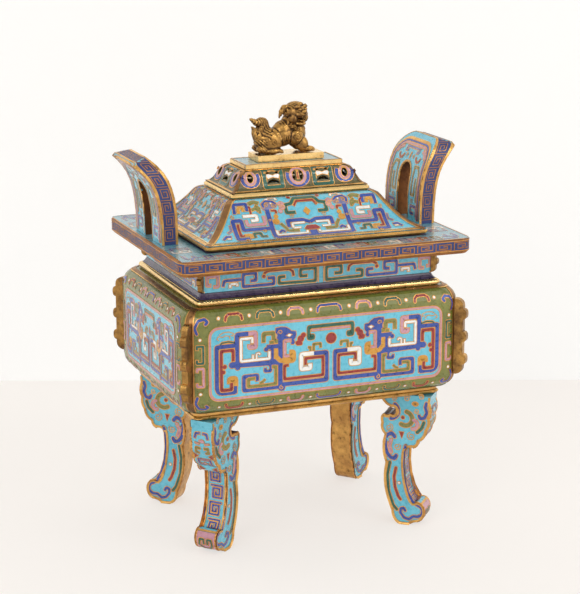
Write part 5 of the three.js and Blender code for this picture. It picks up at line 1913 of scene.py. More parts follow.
@dataclass
class Leg:
    """One cabriole leg: its cloud head and scrolled foot outlined in gilt, and its fretted outward face."""

    name: str
    x_sign: int
    y_sign: int
    corner_x: float = 84.2
    corner_y: float = 62.5
    angle: float = 40.0
    head: float = 8.0
    shaft: float = 7.2
    unit: float = 0.91
    fret_units: int = 4
    fret_start: float = 39.6
    fret_end: float = 84.6

    def build(self) -> None:
        """Lays both broad faces and both edges, and a dark sheet of painted shade on the throat's edge."""
        node = f"leg_{self.name}"
        turn = math.radians(self.angle)
        way = Vector((self.x_sign * math.cos(turn), self.y_sign * math.sin(turn), 0))
        across = Vector((-way.y, way.x, 0))
        corner = Vector((self.x_sign * self.corner_x, self.y_sign * self.corner_y, 0))
        work = CellWork(f"{node}_cells", "vessel", 0.52)
        for sign in (-1, 1):
            self.broad(work, Face(node, corner + across * self.head * sign, way, UP, across * sign))
        self.outer(work, EdgeFace(node, corner, across, UP, way, 1.3, self.outer_line()))
        inward = EdgeFace(node, corner, across, UP, way, 2.0, self.inner_line())
        half, total = self.shaft - 0.1, length_of(inward.outline)
        work.patch(inward, (-half, 1.0, half, total - 0.5), Finish.GILT, 0)
        # Painted shade: a near-black enamel sheet over the throat's edge, where the head's scroll lies in
        # shade.
        throat = EdgeFace(node, corner, across, UP, way, 1.0, self.throat_line())
        half, depth = self.head - 0.1, length_of(throat.outline)
        work.patch(throat, (-half, 0.1, half, depth - 0.2), Finish.AUBERGINE, 0)
        work.build()

    def outer_line(self) -> Path:
        """Gives the outward edge from the top down, in millimetres.

        Returns:
            The line along the edge.
        """
        return self.scaled(curve(
            (-4.4, 94.5), ((-2.2, 87.9), (-4.8, 83.5)), ((-3.5, 78.5), (-6.6, 74.1)),
            ((-7.5, 67.5), (-12.5, 65.3)),
            ((-12.7, 61.3), (-16.5, 60.4)), ((-22.2, 60.9), (-23.7, 55.6)),
            ((-25.5, 42.9), (-21.1, 19.3), (-16.3, 16.9)), ((-13.2, 18.9), (-10.1, 17.1)),
            ((-5.1, 13.6), (-7.3, 4.0), (-12.7, 2.9)),
        ))

    def inner_line(self) -> Path:
        """Gives the inward edge from the sole up to the head's last lobe, in millimetres.

        Returns:
            The line along the edge.
        """
        return self.scaled(curve(
            (-25.9, 0), ((-29.2, 0.7), (-32.3, 4.4), (-32.5, 10.5)),
            ((-38, 23.1), (-40.2, 34.1), (-37.4, 47.3)),
            ((-41.8, 57.1), (-38.2, 68.8)), ((-42.2, 72.5), (-40.7, 77.6)), ((-42.2, 82.4), (-39.1, 84.2)),
        ))

    def throat_line(self) -> Path:
        """Gives the edge on round the head's throat and out along the wing over it, in millimetres.

        Returns:
            The line along the edge.
        """
        throat = arc((-32.3, 87.0), 3.3, -126, 109, 10)
        wing = bend((-33.6, 90.3), (-37.8, 90.8), (-41.3, 96.7))
        return self.scaled(bend((-39.1, 84.2), (-37.1, 82.4), throat[0]) + throat + wing)

    def scaled(self, line: Path) -> Path:
        """Turns hundredths of the leg's height to millimetres and drops repeated points."""
        return without_repeats([(u * self.unit, v * self.unit) for u, v in line])

    def broad(self, work: CellWork, face: Face) -> None:
        """Lays one broad face's clouds, stripes and foot scroll.

        Args:
            work: The piece.
            face: The face.
        """
        def fit(path: Path) -> Path:
            """Settles a motif towards the sole, as the drawing of it stood a little high."""
            return [(u - 0.6, v - 2.0 * max(0.0, 1 - v / 62)) for u, v in path]

        top = [(-4.0 * self.unit, 99.4 * self.unit)]
        sole = self.scaled(bend((-12.7, 2.9), (-16.5, 2.6), (-19.3, 0.0)))[1:]
        perimeter = top + self.outer_line() + sole + self.inner_line() + self.throat_line()[1:]
        work.line(face, offset(perimeter, -0.8), 2, 1.6, finish=Finish.GILT)
        for finish, width, layer, path in LEG_STROKES:
            work.stroke(face, fit(path), width * 1.15, finish, layer, caps=True)
        for finish, radius, squash, centre in LEG_DISCS:
            work.disc(face, fit([centre])[0], radius, finish, 1, squash)
        work.area(face, fit([(-24, 65), (-21.2, 65), (-22.4, 60.6)]), Finish.RED)
        for centre, outer, start, turns in LEG_SPIRALS:
            work.line(face, fit(spiral(centre, outer, 0.5, start, turns)), 0)

    def outer(self, work: CellWork, face: Face) -> None:
        """Lays the outward face: cloud bands on the head, a fret down the shaft, and the toe's curls.

        Args:
            work: The piece.
            face: The face.
        """
        for sign in (-1, 1):
            def fit(path: Path, sign: int = sign) -> Path:
                """Puts a motif on one half of the face."""
                return [(sign * u, v) for u, v in path]
            for finish, width, path in TOE_STROKES:
                work.stroke(face, fit(path), width, finish)
            for path in TOE_WEDGES:
                work.area(face, fit(path), Finish.RED)
            work.line(face, fit([(6.5, 38.0), (6.5, 85.0)]), 1, 1.2, finish=Finish.GILT)
            work.stroke(face, fit(HEAD_CLOUD), 1.2, Finish.LEAF, 2)
            work.stroke(face, fit([(2.4, 10.6), (5.0, 10.0)]), 0.9, Finish.PINK, caps=True)
        work.disc(face, (0, 8.4), 1.9, Finish.PINK, 0, 0.6)
        work.disc(face, (0, 25.4), 0.9, Finish.PINK, 1)
        period = (self.fret_end - self.fret_start) / self.fret_units
        for k in range(self.fret_units):
            way = -1 if k % 2 else 1
            path = [(way * (4.2 - 8.4 * b), self.fret_start + period * (k + 0.08 + 0.86 * a))
                    for a, b in FRET_UNIT]
            work.stroke(face, path, 1.05, Finish.COBALT, soften=0.1)
        work.patch(face, (-6.6, 88.0, 6.6, 105.0), Finish.PINK, 0)
        work.line(face, [(-6.8, 87.2), (6.8, 87.2)], 2, 1.4, finish=Finish.GILT)


def offset(path: Path, distance: float) -> Path:
    """Moves an open path sideways, to its left for a positive distance.

    Args:
        path: The path.
        distance: How far it moves.

    Returns:
        The moved path.
    """
    result: Path = []
    for k, here in enumerate(path):
        way = _unit(path[max(k - 1, 0)], path[min(k + 1, len(path) - 1)])
        result.append((here[0] - way[1] * distance, here[1] + way[0] * distance))
    return result


def bend(start: Point, *rest: Point) -> Path:
    """Gives points along a curve with one or two control points, its first and last points included.

    Args:
        start: The first point.
        rest: The control points and the last point.

    Returns:
        The curve's points.
    """
    points = (start, *rest)
    result: Path = []
    for k in range(9):
        t = k / 8
        level = list(points)
        while len(level) > 1:
            level = [(a[0] + (b[0] - a[0]) * t, a[1] + (b[1] - a[1]) * t) for a, b in zip(level, level[1:])]
        result.append(level[0])
    return result


def curve(start: Point, *pieces: tuple[Point, ...]) -> Path:
    """Joins curves end to end, each given by its control points and its end.

    Args:
        start: The first curve's start.
        pieces: Each curve's control points and end.

    Returns:
        The joined path.
    """
    result: Path = []
    for piece in pieces:
        result += bend(start, *piece)
        start = piece[-1]
    return result


LEG_STROKES: list[tuple[Finish, float, int, Path]] = [
    (Finish.COBALT, 2.0, 0, arc((-30.5, 79.4), 5.6, 55, -85, 8)),
    (Finish.OLIVE, 2.2, 0, arc((-20.2, 74.6), 4.9, 80, -125, 10)),
    (Finish.PINK, 1.7, 0, arc((-14.8, 71), 3.1, 85, -95, 8)),
    (Finish.LEAF, 1.7, 0, [(-7.4, 73), (-8.8, 69), (-12, 65.8)]),
    (Finish.COBALT, 1.7, 0, [(-5.8, 86.4), (-6.6, 83.6), (-5.4, 80), (-7.0, 76.2), (-10, 75.4),
                             (-10.8, 77.4)]),
    (Finish.COBALT, 2.1, 0, [(-27.4, 61.4), (-29.2, 63.8), (-32.8, 62), (-34, 57), (-33, 50.4), (-30.4, 47),
                             (-27.4, 46.2), (-26.4, 48.4)]),
    (Finish.PINK, 1.7, 1, [(-29.8, 59), (-31.2, 54.6), (-29.8, 50.6)]),
    (Finish.LEAF, 1.5, 0, [(-30.6, 43.6), (-32.2, 35), (-31.3, 24), (-28, 14.6), (-25.4, 11.6)]),
    (Finish.RED, 1.4, 0, [(-26.4, 40), (-27.6, 34), (-26.9, 27), (-24.5, 20.8), (-23, 18.8)]),
    (Finish.COBALT, 1.5, 0, [(-19.6, 56), (-21, 52), (-21.5, 42), (-20.4, 33), (-17.8, 24.4), (-14.6, 19),
                             (-12.4, 16.4), (-9, 14.8), (-7.4, 12.6), (-8, 9.8), (-10.6, 8), (-14, 8),
                             (-17, 5.6), (-20.4, 6.6), (-22.8, 9.6), (-22.8, 12.4), (-20.8, 13.2),
                             (-19.6, 11.4)]),
]
TOE_STROKES: list[tuple[Finish, float, Path]] = [
    (Finish.COBALT, 1.4, [(1.0, 3.0), (4.0, 3.2), (4.8, 6.4)]),
    (Finish.OLIVE, 1.2, [(1.4, 13.6), (4.4, 13.2), (4.6, 16.4), (2.4, 17.0)]),
    (Finish.COBALT, 1.3, [(0, 22.2), (4.4, 22.2), (4.4, 28.6), (1.8, 28.6), (1.8, 25.6)]),
]
TOE_WEDGES: list[Path] = [[(6.6, 17.8), (6.6, 21.4), (4.0, 19.6)], [(6.2, 30.6), (6.2, 34.0), (3.0, 32.4)]]
HEAD_CLOUD: Path = [(1.4, 96.4), (1.4, 93.0), (4.2, 93.0), (4.8, 97.0), (2.2, 100.4), (0, 100.8)]
LEG_DISCS: list[tuple[Finish, float, float, Point]] = [
    (Finish.RED, 1.1, 1.0, (-21.8, 75.2)), (Finish.WHITE, 0.7, 1.0, (-24, 30)),
    (Finish.OCHRE, 2.0, 0.65, (-13.5, 85.4)), (Finish.BROWN, 0.9, 0.8, (-13.5, 85.4)),
]
LEG_SPIRALS: list[tuple[Point, float, float, float]] = [
    ((-19, 88.6), 2.3, 20, 1.6), ((-9.4, 90.6), 2.2, 160, -1.6), ((-27.6, 87.6), 1.8, 10, 1.5),
    ((-31, 67.4), 2.9, 90, -1.7), ((-16, 62.6), 3.1, 100, 1.7), ((-25.6, 54.6), 2.7, 60, -1.6),
    ((-12.6, 80.6), 1.9, 200, 1.4),
]


# Lion

@dataclass
class GuardianLion:
    """The cast lion that is the lid's knob: crouching hind legs, upright chest, open mouth and curled mane.

    Its own x runs from tail to chest, y across, and z up from its soles, in millimetres. The head has its own
    axes: forward out of the face, aside to the viewer's right, and up.
    """

    sole: float = 249.5
    head: Spot = (6.3, -0.7, 25.9)
    head_turn: float = 65.0
    voxel: float = 0.42
    skull: Spot = (8.0, 8.0, 6.9)

    def build(self) -> None:
        """Builds the body, opens the mouth, adds curls and spirals, and takes the plain solid's place."""
        body = self.body()
        self.comb(body)
        # Stores the hollowness that the gilding turns into painted shade in the recesses.
        self.store_recess_shade(body)
        details = self.details()
        for piece in (body, details):
            piece.data.materials.clear()
            piece.data.materials.append(material_of(Finish.ANTIQUE))
        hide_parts("lion")
        for piece in (body, details):
            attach(piece, "lid")
            log.info("%s: %d faces", piece.name, len(piece.data.polygons))

    def place(self, x: float, y: float, z: float) -> Vector:
        """Turns the lion's own millimetres to metres in the frame."""
        return Vector((x, y, z + self.sole)) * MM

    def face_point(self, forward: float, aside: float, up: float) -> Spot:
        """Gives a point of the head in the lion's own millimetres.

        Args:
            forward: Millimetres out of the face.
            aside: Millimetres to the viewer's right.
            up: Millimetres up.

        Returns:
            The point.
        """
        turn = math.radians(self.head_turn)
        x, y, z = self.head
        return (x + forward * math.cos(turn) + aside * math.sin(turn),
                y - forward * math.sin(turn) + aside * math.cos(turn), z + up)

    def egg(self, work: bmesh.types.BMesh, centre: Spot, radii: Spot, lean: float = 0.0, turn: float = 0.0,
            detail: int = 16) -> None:
        """Adds one rounded mass.

        Args:
            work: The mesh being built.
            centre: Its middle in the lion's own millimetres.
            radii: Its half sizes.
            lean: Its lean about y in degrees.
            turn: Its turn about z in degrees.
            detail: How many sides it has round it.
        """
        shape = (Matrix.Translation(self.place(*centre)) @ Matrix.Rotation(math.radians(turn), 4, "Z")
                 @ Matrix.Rotation(math.radians(lean), 4, "Y")
                 @ Matrix.Diagonal((*(r * MM for r in radii), 1)))
        bmesh.ops.create_uvsphere(work, u_segments=detail, v_segments=detail // 2 + 2, radius=1.0,
                                  matrix=shape)

    def tube(self, work: bmesh.types.BMesh, line: list[Spot], radii: list[float], sides: int = 8) -> None:
        """Adds a tapering lock or limb along a line.

        Args:
            work: The mesh being built.
            line: Its points in the lion's own millimetres.
            radii: Its radius at each point.
            sides: How many sides it has.
        """
        points = [self.place(*p) for p in line]
        rings = []
        for k, here in enumerate(points):
            along = (points[min(k + 1, len(points) - 1)] - points[max(k - 1, 0)]).normalized()
            side = along.cross(Vector((0.13, 0.97, 0.21))).normalized()
            other = along.cross(side)
            rings.append([work.verts.new(here + (side * math.cos(a) + other * math.sin(a)) * radii[k] * MM)
                          for a in (2 * math.pi * j / sides for j in range(sides))])
        for low, high in zip(rings, rings[1:]):
            for j in range(sides):
                work.faces.new((low[j], low[(j + 1) % sides], high[(j + 1) % sides], high[j]))
        work.faces.new(rings[0][::-1])
        work.faces.new(rings[-1])

    def to_object(self, work: bmesh.types.BMesh, name: str) -> bpy.types.Object:
        """Turns the mesh being built into an object.

        Args:
            work: The mesh being built, which is freed.
            name: The object's name.

        Returns:
            The object.
        """
        bmesh.ops.recalc_face_normals(work, faces=work.faces)
        mesh = bpy.data.meshes.new(name)
        work.to_mesh(mesh)
        work.free()
        return add_object(name, mesh)

    def body(self) -> bpy.types.Object:
        """Makes the body as one skin over its masses, with the mouth cut open.

        Returns:
            The body.
        """
        work = bmesh.new()
        f = self.face_point
        turn = -self.head_turn
        for centre, radii, lean in LION_TRUNK:
            self.egg(work, centre, radii, lean)
        for side in (-1, 1):
            for (x, y, z), radii, lean in LION_LIMBS:
                self.egg(work, (x, side * y, z), radii, lean)
        self.egg(work, self.head, (8.0, 7.9, 6.9))
        for place, radii, lean in LION_FACE:
            self.egg(work, f(*place), radii, lean, turn)
        for side in (-1, 1):
            for (forward, aside, up), radii, lean in LION_CHEEKS:
                self.egg(work, f(forward, side * aside, up), radii, lean, turn)
        for line, radii in LION_EARS:
            self.tube(work, [f(*place) for place in line], radii)
        self.tube(work, LION_TAIL[0], LION_TAIL[1])
        self.egg(work, (-17.2, 0, 20.0), (4.6, 3.1, 3.4))
        for side in (-1, 1):
            for line, radii in LION_TAIL_LOCKS:
                self.tube(work, [(x, side * y, z) for x, y, z in line], radii)
        skin = self.to_object(work, "lion_body")
        self.apply(skin, "REMESH", mode="VOXEL", voxel_size=self.voxel * MM, use_smooth_shade=True)
        cut = bmesh.new()
        self.egg(cut, f(7.6, 0, -3.9), (4.4, 4.3, 1.25), 6, turn)
        cutter = self.to_object(cut, "mouth_cut")
        self.apply(skin, "BOOLEAN", operation="DIFFERENCE", object=cutter, solver="MANIFOLD")
        bpy.data.objects.remove(cutter)
        self.apply(skin, "SMOOTH", factor=0.5, iterations=2)
        skin.data.shade_smooth()
        return skin

    def apply(self, piece: bpy.types.Object, kind: str, **settings: object) -> None:
        """Applies a modifier to a piece at once.

        Args:
            piece: The piece.
            kind: The modifier's kind.
            settings: Its settings by name.
        """
        modifier = piece.modifiers.new(kind.lower(), kind)
        for name, value in settings.items():
            setattr(modifier, name, value)
        ready = piece.evaluated_get(bpy.context.evaluated_depsgraph_get())
        mesh = bpy.data.meshes.new_from_object(ready)
        piece.modifiers.clear()
        piece.data = mesh

    def comb(self, piece: bpy.types.Object) -> None:
        """Combs the head, tail and haunches with fine grooves, as the casting is chased.

        Args:
            piece: The body.
        """
        turn = math.radians(self.head_turn)
        forward = Vector((math.cos(turn), -math.sin(turn), 0))
        aside = Vector((math.sin(turn), math.cos(turn), 0))
        middle = Vector(self.head)
        for vertex in piece.data.vertices:
            own = vertex.co / MM - Vector((0, 0, self.sole))
            normal = vertex.normal
            depth = 0.0
            away = own - middle
            if own.z > 18.5 and away.dot(forward) < 3.4:
                depth = 0.22 * math.sin(4.6 * away.dot(aside) + 1.4 * math.sin(0.8 * own.z))
            elif own.x < -12.5 and own.z > 9:
                depth = 0.24 * math.sin(3.6 * (own.x * 0.7 + own.y) + 0.5 * own.z)
            elif own.x < -16 and own.z < 9:
                depth = 0.16 * math.sin(3.2 * (own.x + own.z))
            vertex.co = vertex.co + normal * (depth * MM)

    def store_recess_shade(self, piece: bpy.types.Object) -> None:
        """Stores how concave the skin is at each point, for the painted shade that darkens the recesses.

        Args:
            piece: The body.
        """
        mesh = piece.data
        work = bmesh.new()
        work.from_mesh(mesh)
        work.normal_update()
        values = [0.0] * len(work.verts)
        for vertex in work.verts:
            sums = [(e.other_vert(vertex).co - vertex.co).normalized().dot(vertex.normal)
                    for e in vertex.link_edges]
            values[vertex.index] = sum(sums) / max(len(sums), 1)
        for _ in range(3):
            nearby = [[values[e.other_vert(v).index] for e in v.link_edges] for v in work.verts]
            values = [0.4 * own + 0.6 * (sum(near) / max(len(near), 1)) for own, near in zip(values, nearby)]
        work.free()
        layer = mesh.attributes.new("hollow", "FLOAT", "POINT")
        for item, value in zip(layer.data, values):
            item.value = max(0.0, min(1.0, 0.35 + value * 6.0))

    def details(self) -> bpy.types.Object:
        """Makes the curls, spirals, ribs, eyes, teeth and toes.

        Returns:
            The details as one piece.
        """
        work = bmesh.new()
        f = self.face_point
        turn = -self.head_turn
        for side in (-1, 1):
            self.coil(work, (5.4, side * 7.6, 9.8), (0, side, 0), 3.4, 0.5, 1.9)
            self.egg(work, (5.4, side * 7.5, 9.8), (1.3, 0.9, 1.3), detail=10)
            self.coil(work, (-11.4, side * 8.4, 7.8), (0, side, 0), 2.6, 0.45, 1.7)
            for x in (-3.2, -1.7, -0.2):
                rib = [(x - 0.5, side * 6.7, 12.0), (x, side * 7.15, 9.6), (x + 0.2, side * 6.7, 7.2)]
                self.tube(work, rib, [0.2, 0.5, 0.2], 6)
            for k in range(4):
                spread = (k - 1.5) * 1.15
                for x, y, half in ((17.0, 4.9, 0.68), (-5.6, 6.7, 0.66)):
                    self.egg(work, (x - abs(spread) * 0.35, side * y + spread, 1.2), (1.3, half, 0.95),
                             detail=10)
            self.egg(work, f(6.6, side * 2.9, 2.3), (1.05, 1.2, 0.95), 0, turn, 12)
            self.coil(work, f(6.2, side * 3.4, 4.6), self.way(0.8, side * 0.3, 0.6), 1.3, 0.32, 1.2)
            self.coil(work, f(3.6, side * 6.9, -4.4), self.way(0.35, side, -0.1), 1.6, 0.42, 1.3)
            self.egg(work, f(7.9, side * 1.6, -2.6), (0.5, 0.45, 0.75), 0, turn, 8)
            self.egg(work, f(9.3, side * 0.9, 0.7), (0.5, 0.5, 0.4), 0, turn, 8)
        self.egg(work, f(5.4, 0, -4.9), (3.0, 1.9, 0.6), 8, turn, 10)
        self.mane(work)
        for side in (-1, 1):
            for k in range(3):
                self.coil(work, (1.4 + 2.8 * k, side * 6.1, 17.0 - 1.2 * k), (0.1, side, 0.1), 1.4, 0.4, 1.2)
        for k in range(3):
            self.coil(work, (11.6, -3.2 + 3.2 * k, 15.2), (1, 0, 0.1), 1.4, 0.4, 1.2)
        piece = self.to_object(work, "lion_details")
        piece.data.shade_smooth()
        return piece

    def mane(self, work: bmesh.types.BMesh) -> None:
        """Sets rows of curls round the back of the head, each row's ends on both sides of the face.

        Args:
            work: The mesh being built.
        """
        for height, count in ((-0.1, 9), (0.35, 7), (-0.6, 8), (-0.95, 6)):
            flat = math.sqrt(max(1 - height * height, 0.05))
            for k in range(count):
                angle = math.radians(115 + 130 * k / (count - 1) - (12 if height < 0 else 0))
                for mirror in ((1, -1) if k in (0, count - 1) else (1,)):
                    out = (math.cos(angle) * flat, math.sin(angle) * flat * mirror, height)
                    centre = self.face_point(*(share * reach for share, reach in zip(out, self.skull)))
                    self.coil(work, centre, self.way(*out), 1.5, 0.4, 1.3)

    def way(self, forward: float, aside: float, up: float) -> Spot:
        """Turns a direction of the head's to the lion's own axes."""
        a, b = Vector(self.face_point(forward, aside, up)), Vector(self.head)
        return tuple(a - b)

    def coil(self, work: bmesh.types.BMesh, centre: Spot, out: Spot, radius: float, thickness: float,
             turns: float) -> None:
        """Adds a spiral curl that lies on the skin.

        Args:
            work: The mesh being built.
            centre: Its middle in the lion's own millimetres.
            out: The direction out of the skin.
            radius: Its outer radius.
            thickness: The strand's radius.
            turns: How many turns it winds.
        """
        normal = Vector(out).normalized()
        side = normal.cross(Vector((0.1, 0.2, 1))).normalized()
        up = side.cross(normal)
        count = 12
        line, radii = [], []
        for k in range(count + 1):
            share = k / count
            angle = 2 * math.pi * turns * share
            reach = radius * (1 - 0.88 * share)
            rise = (share - 0.4) * thickness * 1.4
            spot = Vector(centre) + (side * math.cos(angle) + up * math.sin(angle)) * reach + normal * rise
            line.append(tuple(spot))
            radii.append(thickness * (0.5 + 0.7 * math.sin(math.pi * (0.1 + 0.8 * share))))
        self.tube(work, line, radii, 6)


Mass = tuple[Spot, Spot, float]
Lock = tuple[list[Spot], list[float]]
LION_TRUNK: list[Mass] = [
    ((-14.3, 0, 8.8), (8.5, 6.9, 8.6), 0), ((-3.0, 0, 10.8), (10.5, 7.0, 7.4), -14),
    ((-2.6, 0, 14.6), (8.4, 6.2, 6.0), -30), ((-8.6, 0, 9.4), (8.0, 7.4, 7.0), 0),
    ((6.6, 0, 11.6), (6.9, 6.3, 9.6), 0), ((3.8, 0, 19.4), (6.6, 6.6, 6.4), 0),
    ((9.5, 0, 9.4), (3.6, 5.2, 7.6), 0),
]
LION_LIMBS: list[Mass] = [
    ((-12.0, 4.9, 7.2), (7.4, 3.6, 6.9), 0), ((-10.8, 6.7, 1.9), (6.3, 2.5, 1.9), 0),
    ((5.4, 4.7, 9.8), (5.0, 3.2, 5.3), 0), ((9.4, 4.7, 5.2), (4.4, 2.9, 5.4), -12),
    ((13.8, 4.9, 1.9), (4.6, 2.7, 2.0), 4), ((-17.6, 4.2, 3.0), (4.8, 3.6, 3.0), 0),
]
LION_FACE: list[Mass] = [
    ((5.2, 0, -0.6), (3.9, 4.9, 2.5), 4), ((8.2, 0, 0.9), (1.6, 2.1, 1.2), 0),
    ((3.8, 0, -6.6), (4.4, 4.4, 1.7), 14), ((3.2, 0, 5.2), (2.9, 2.8, 1.6), -20),
]
LION_CHEEKS: list[Mass] = [
    ((4.9, 3.2, 3.7), (2.2, 2.5, 1.3), -24), ((2.6, 5.4, -3.6), (3.3, 2.4, 3.6), 0),
    ((5.6, 3.4, -1.0), (2.2, 1.8, 1.7), 0),
]
LION_EARS: list[Lock] = [
    ([(-1.5, -6.4, 4.6), (-2.0, -8.6, 3.6), (-2.6, -10.6, 0.8), (-3.4, -12.2, -3.6)], [1.0, 2.0, 1.8, 0.3]),
    ([(-1.5, 6.4, 4.2), (-2.4, 7.9, 2.0), (-3.4, 8.2, -1.4), (-4.0, 7.6, -5.0)], [1.0, 1.8, 1.6, 0.3]),
]
LION_TAIL: Lock = (
    [(-14, 0, 11), (-14.4, 0, 16), (-15.6, 0, 19.8), (-18.2, 0, 20.9), (-21.4, 0, 20.2), (-25.2, 0, 23.0)],
    [3.6, 3.3, 3.0, 2.8, 2.2, 0.7],
)
LION_TAIL_LOCKS: list[Lock] = [
    ([(-17.6, 2.4, 6), (-19.6, 3.0, 11.6), (-18.2, 2.9, 16.6), (-15.4, 2.2, 19.6)], [2.2, 2.1, 1.7, 0.5]),
    ([(-20.0, 1.4, 8), (-21.9, 1.6, 12.8), (-22.2, 1.6, 15.8), (-24.2, 1.4, 17.9)], [2.2, 1.7, 1.2, 0.3]),
]


# Studio

@dataclass(frozen=True)
class SoftBox:
    """One soft lamp: its place and size in millimetres, its power in watts and its colour."""

    name: str
    place: Spot
    size: float
    power: float
    colour: Spot = (1.0, 1.0, 1.0)
    breadth: float = 0.0
    target: Spot = (0, 0, 130)

    def build(self) -> None:
        """Makes the lamp and turns it to its target."""
        data = bpy.data.lights.new(self.name, "AREA")
        data.size, data.energy, data.color = self.size * MM, self.power, self.colour
        if self.breadth:
            data.shape, data.size_y = "RECTANGLE", self.breadth * MM
        lamp = add_object(self.name, data)
        lamp.location = Vector(self.place) * MM
        aim = (Vector(self.target) - Vector(self.place)).normalized()
        lamp.rotation_euler = aim.to_track_quat("-Z", "Y").to_euler()


@dataclass
class Studio:
    """The camera at the photograph's angle, the pale floor and wall, and the soft lamps."""

    eye: Spot = (-454.9, -1164.6, 461.0)
    azimuth: float = 21.45
    elevation: float = 13.93
    roll: float = -0.08
    lens: float = 116.68
    sensor: float = 36.0
    floor: Spot = (0.955, 0.915, 0.875)
    wall: Spot = (0.985, 0.975, 0.955)
    wall_foot: Spot = (115.0, 294.0, 0.0)
    half_width: float = 6000
    floor_depth: float = 7000
    wall_height: float = 5000
    glow: float = 0.68
    sky: Spot = (1.0, 0.99, 0.975)
    sky_low: float = 0.95
    sky_high: float = 0.36
    lamps: tuple[SoftBox, ...] = (
        SoftBox("key", (-1500, -1250, 1250), 1300, 14.0, (1.0, 0.985, 0.96)),
        SoftBox("top", (100, -300, 1900), 1700, 2.0),
        SoftBox("fill", (1300, -1700, 800), 1200, 8.0, (1.0, 0.99, 0.98)),
        SoftBox("strip", (560, -900, 1200), 700, 2.0, breadth=60),
    )

    def build(self) -> None:
        """Makes the camera, stage, sky and lamps."""
        self.camera()
        self.stage()
        self.sky_light()
        for lamp in self.lamps:
            lamp.build()

    def camera(self) -> None:
        """Makes the camera."""
        data = bpy.data.cameras.new("camera")
        data.lens, data.sensor_width, data.sensor_fit = self.lens, self.sensor, "AUTO"
        camera = add_object("camera", data)
        a, e = math.radians(self.azimuth), math.radians(self.elevation)
        ahead = Vector((math.sin(a) * math.cos(e), math.cos(a) * math.cos(e), -math.sin(e)))
        turn = ahead.to_track_quat("-Z", "Y").to_matrix().to_4x4()
        roll = Matrix.Rotation(math.radians(self.roll), 4, "Z")
        camera.matrix_world = Matrix.Translation(Vector(self.eye) * MM) @ turn @ roll
        bpy.context.scene.camera = camera

    def stage(self) -> None:
        """Makes the floor and the wall behind it."""
        a = math.radians(self.azimuth)
        ahead, right = Vector((math.sin(a), math.cos(a), 0)), Vector((math.cos(a), -math.sin(a), 0))
        left_end, right_end = (Vector(self.wall_foot) + right * s * self.half_width for s in (-1, 1))
        front, high = ahead * -self.floor_depth, UP * self.wall_height
        for name, colour, corners in (
            ("floor", self.floor, (left_end, left_end + front, right_end + front, right_end)),
            ("wall", self.wall, (left_end, right_end, right_end + high, left_end + high)),
        ):
            mesh = make_mesh(name, [corner * MM for corner in corners], [(0, 1, 2, 3)])
            mesh.materials.append(self.backdrop(name, colour))
            add_object(name, mesh)

    def backdrop(self, name: str, colour: Spot) -> bpy.types.Material:
        """Makes the floor's or the wall's material.

        Args:
            name: Which of the two it is.
            colour: Its colour.

        Returns:
            The material. It glows a little where it is seen, straight or in gloss or glass, and the wall is
            clear from behind.
        """
        material, nodes, links, shader = blank_material(f"studio_{name}")
        shader.inputs["Roughness"].default_value = 0.9
        shader.inputs["Specular IOR Level"].default_value = 0.1
        shader.inputs["Emission Color"].default_value = (*colour, 1)
        rays = nodes.new("ShaderNodeLightPath")
        seen = rays.outputs["Is Camera Ray"]
        for kind in ("Is Glossy Ray", "Is Transmission Ray"):
            either = nodes.new("ShaderNodeMath")
            either.operation = "MAXIMUM"
            links.new(seen, either.inputs[0])
            links.new(rays.outputs[kind], either.inputs[1])
            seen = either.outputs[0]
        glow = nodes.new("ShaderNodeMath")
        glow.operation = "MULTIPLY"
        glow.inputs[1].default_value = self.glow
        links.new(seen, glow.inputs[0])
        links.new(glow.outputs[0], shader.inputs["Emission Strength"])
        tone = nodes.new("ShaderNodeMix")
        tone.data_type = "RGBA"
        tone.inputs[6].default_value = (*colour, 1)
        tone.inputs[7].default_value = (*(c * (1 - self.glow) for c in colour), 1)
        links.new(seen, tone.inputs[0])
        links.new(tone.outputs[2], shader.inputs["Base Color"])
        if name == "wall":
            clear = nodes.new("ShaderNodeBsdfTransparent")
            mix = nodes.new("ShaderNodeMixShader")
            geometry = nodes.new("ShaderNodeNewGeometry")
            links.new(geometry.outputs["Backfacing"], mix.inputs[0])
            links.new(shader.outputs[0], mix.inputs[1])
            links.new(clear.outputs[0], mix.inputs[2])
            links.new(mix.outputs[0], nodes["Material Output"].inputs["Surface"])
        return material

    def sky_light(self) -> None:
        """Makes the sky, which is brightest at the horizon."""
        world = bpy.data.worlds.new("studio")
        bpy.context.scene.world = world
        world.use_nodes = True
        nodes, links = world.node_tree.nodes, world.node_tree.links
        background = nodes["Background"]
        background.inputs["Color"].default_value = (*self.sky, 1)
        place = nodes.new("ShaderNodeTexCoord")
        split = nodes.new("ShaderNodeSeparateXYZ")
        links.new(place.outputs["Generated"], split.inputs[0])
        fade = nodes.new("ShaderNodeMapRange")
        fade.inputs["To Min"].default_value = self.sky_low
        fade.inputs["To Max"].default_value = self.sky_high
        links.new(split.outputs["Z"], fade.inputs["Value"])
        links.new(fade.outputs["Result"], background.inputs["Strength"])


# Main

NODE_FINISHES: dict[str, Finish] = {
    "leg_screw": Finish.GILT, "leg": Finish.TURQUOISE, "base_moulding": Finish.GILT,
    "base_plate": Finish.BROWN,
    "vessel_body": Finish.MOSS, "shoulder": Finish.BRIGHT, "neck_cove": Finish.AUBERGINE,
    "neck_band": Finish.TURQUOISE, "body_flange": Finish.ANTIQUE, "neck_flange": Finish.ANTIQUE,
    "rim": Finish.NAVY,
    "handle": Finish.TURQUOISE, "lid_lip": Finish.GILT, "lid_collar": Finish.GILT,
    "lid_skirt": Finish.TURQUOISE,
    "waist": Finish.BRIGHT, "gallery": Finish.UMBER, "lid_top_plate": Finish.TEAL,
    "finial_plinth": Finish.BRIGHT, "finial": Finish.GILT, "lion": Finish.GILT,
}


CORNERS = {"front_left": (-1, -1), "front_right": (1, -1), "back_right": (1, 1), "back_left": (-1, 1)}


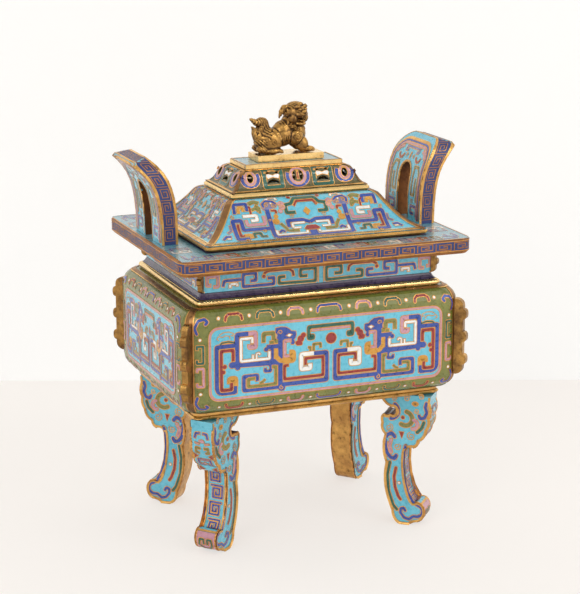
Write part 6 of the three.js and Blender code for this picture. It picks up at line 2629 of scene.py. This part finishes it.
def on_leg_outline(a: Vector, b: Vector) -> bool:
    """Says whether an edge of a leg runs along its outline, not across it or along the head's step.

    Args:
        a: The edge's one end in millimetres.
        b: Its other end.

    Returns:
        Whether it gets a bead.
    """
    cos, sin = math.cos(math.radians(Leg.angle)), math.sin(math.radians(Leg.angle))
    spots = [(x * cos + y * sin, y * cos - x * sin)
             for x, y in ((abs(p.x) - Leg.corner_x, abs(p.y) - Leg.corner_y) for p in (a, b))]
    along, across = (spots[0][0] + spots[1][0]) / 2, abs(spots[0][1] - spots[1][1])
    step = -34.0 < along < -15.4 and 53.0 < (a.z + b.z) / 2 < 64.0
    return across < 0.5 and not step and min(a.z, b.z) > 0.6 and max(a.z, b.z) < 90.9


def on_rim_edge(a: Vector, b: Vector) -> bool:
    """Says whether an edge of the rim is on its outer side, and not round the mouth."""
    return max(abs(a.x) - RimWork.half_long, abs(a.y) - RimWork.half_short) > -4


def above_level(level: float) -> Callable[[Vector, Vector], bool]:
    """Gives a rule that keeps the edges above a level."""
    return lambda a, b: min(a.z, b.z) > level


def main() -> None:
    """Builds and dresses the censer, then sets the studio round it."""
    logging.basicConfig(level=logging.INFO, format="%(message)s")
    bpy.context.scene.view_settings.view_transform = "Standard"
    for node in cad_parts:
        dress_node(node, next(finish for start, finish in NODE_FINISHES.items() if node.startswith(start)))
    Studio().build()
    vessel = [BodyPanels(), ShoulderRoll(), NeckBand(), RimWork(), Handle("handle_left", -1),
              Handle("handle_right", 1)]
    legs = [Leg(name, x_sign, y_sign) for name, (x_sign, y_sign) in CORNERS.items()]
    lid = [LidSkirt(), Gallery(), TopPlate(), GuardianLion()]
    leg_nodes, handle_nodes = [f"leg_{name}" for name in CORNERS], ["handle_left", "handle_right"]
    beads = [
        EdgeBeads("leg_outlines", "vessel", leg_nodes, 0.62, Finish.WIRE, on_leg_outline, 30),
        EdgeBeads("handle_outlines", "vessel", handle_nodes, 0.42, Finish.GILT, above_level(199.4), 38),
        EdgeBeads("rim_outlines", "vessel", ["rim"], 0.36, Finish.COPPER, on_rim_edge, 30),
        EdgeBeads("top_plate_outlines", "lid", ["lid_top_plate"], 0.24, Finish.WIRE, above_level(230.2), 34),
    ]
    for piece in vessel + legs + lid + beads:
        piece.build()


if __name__ == "__main__":
    main()
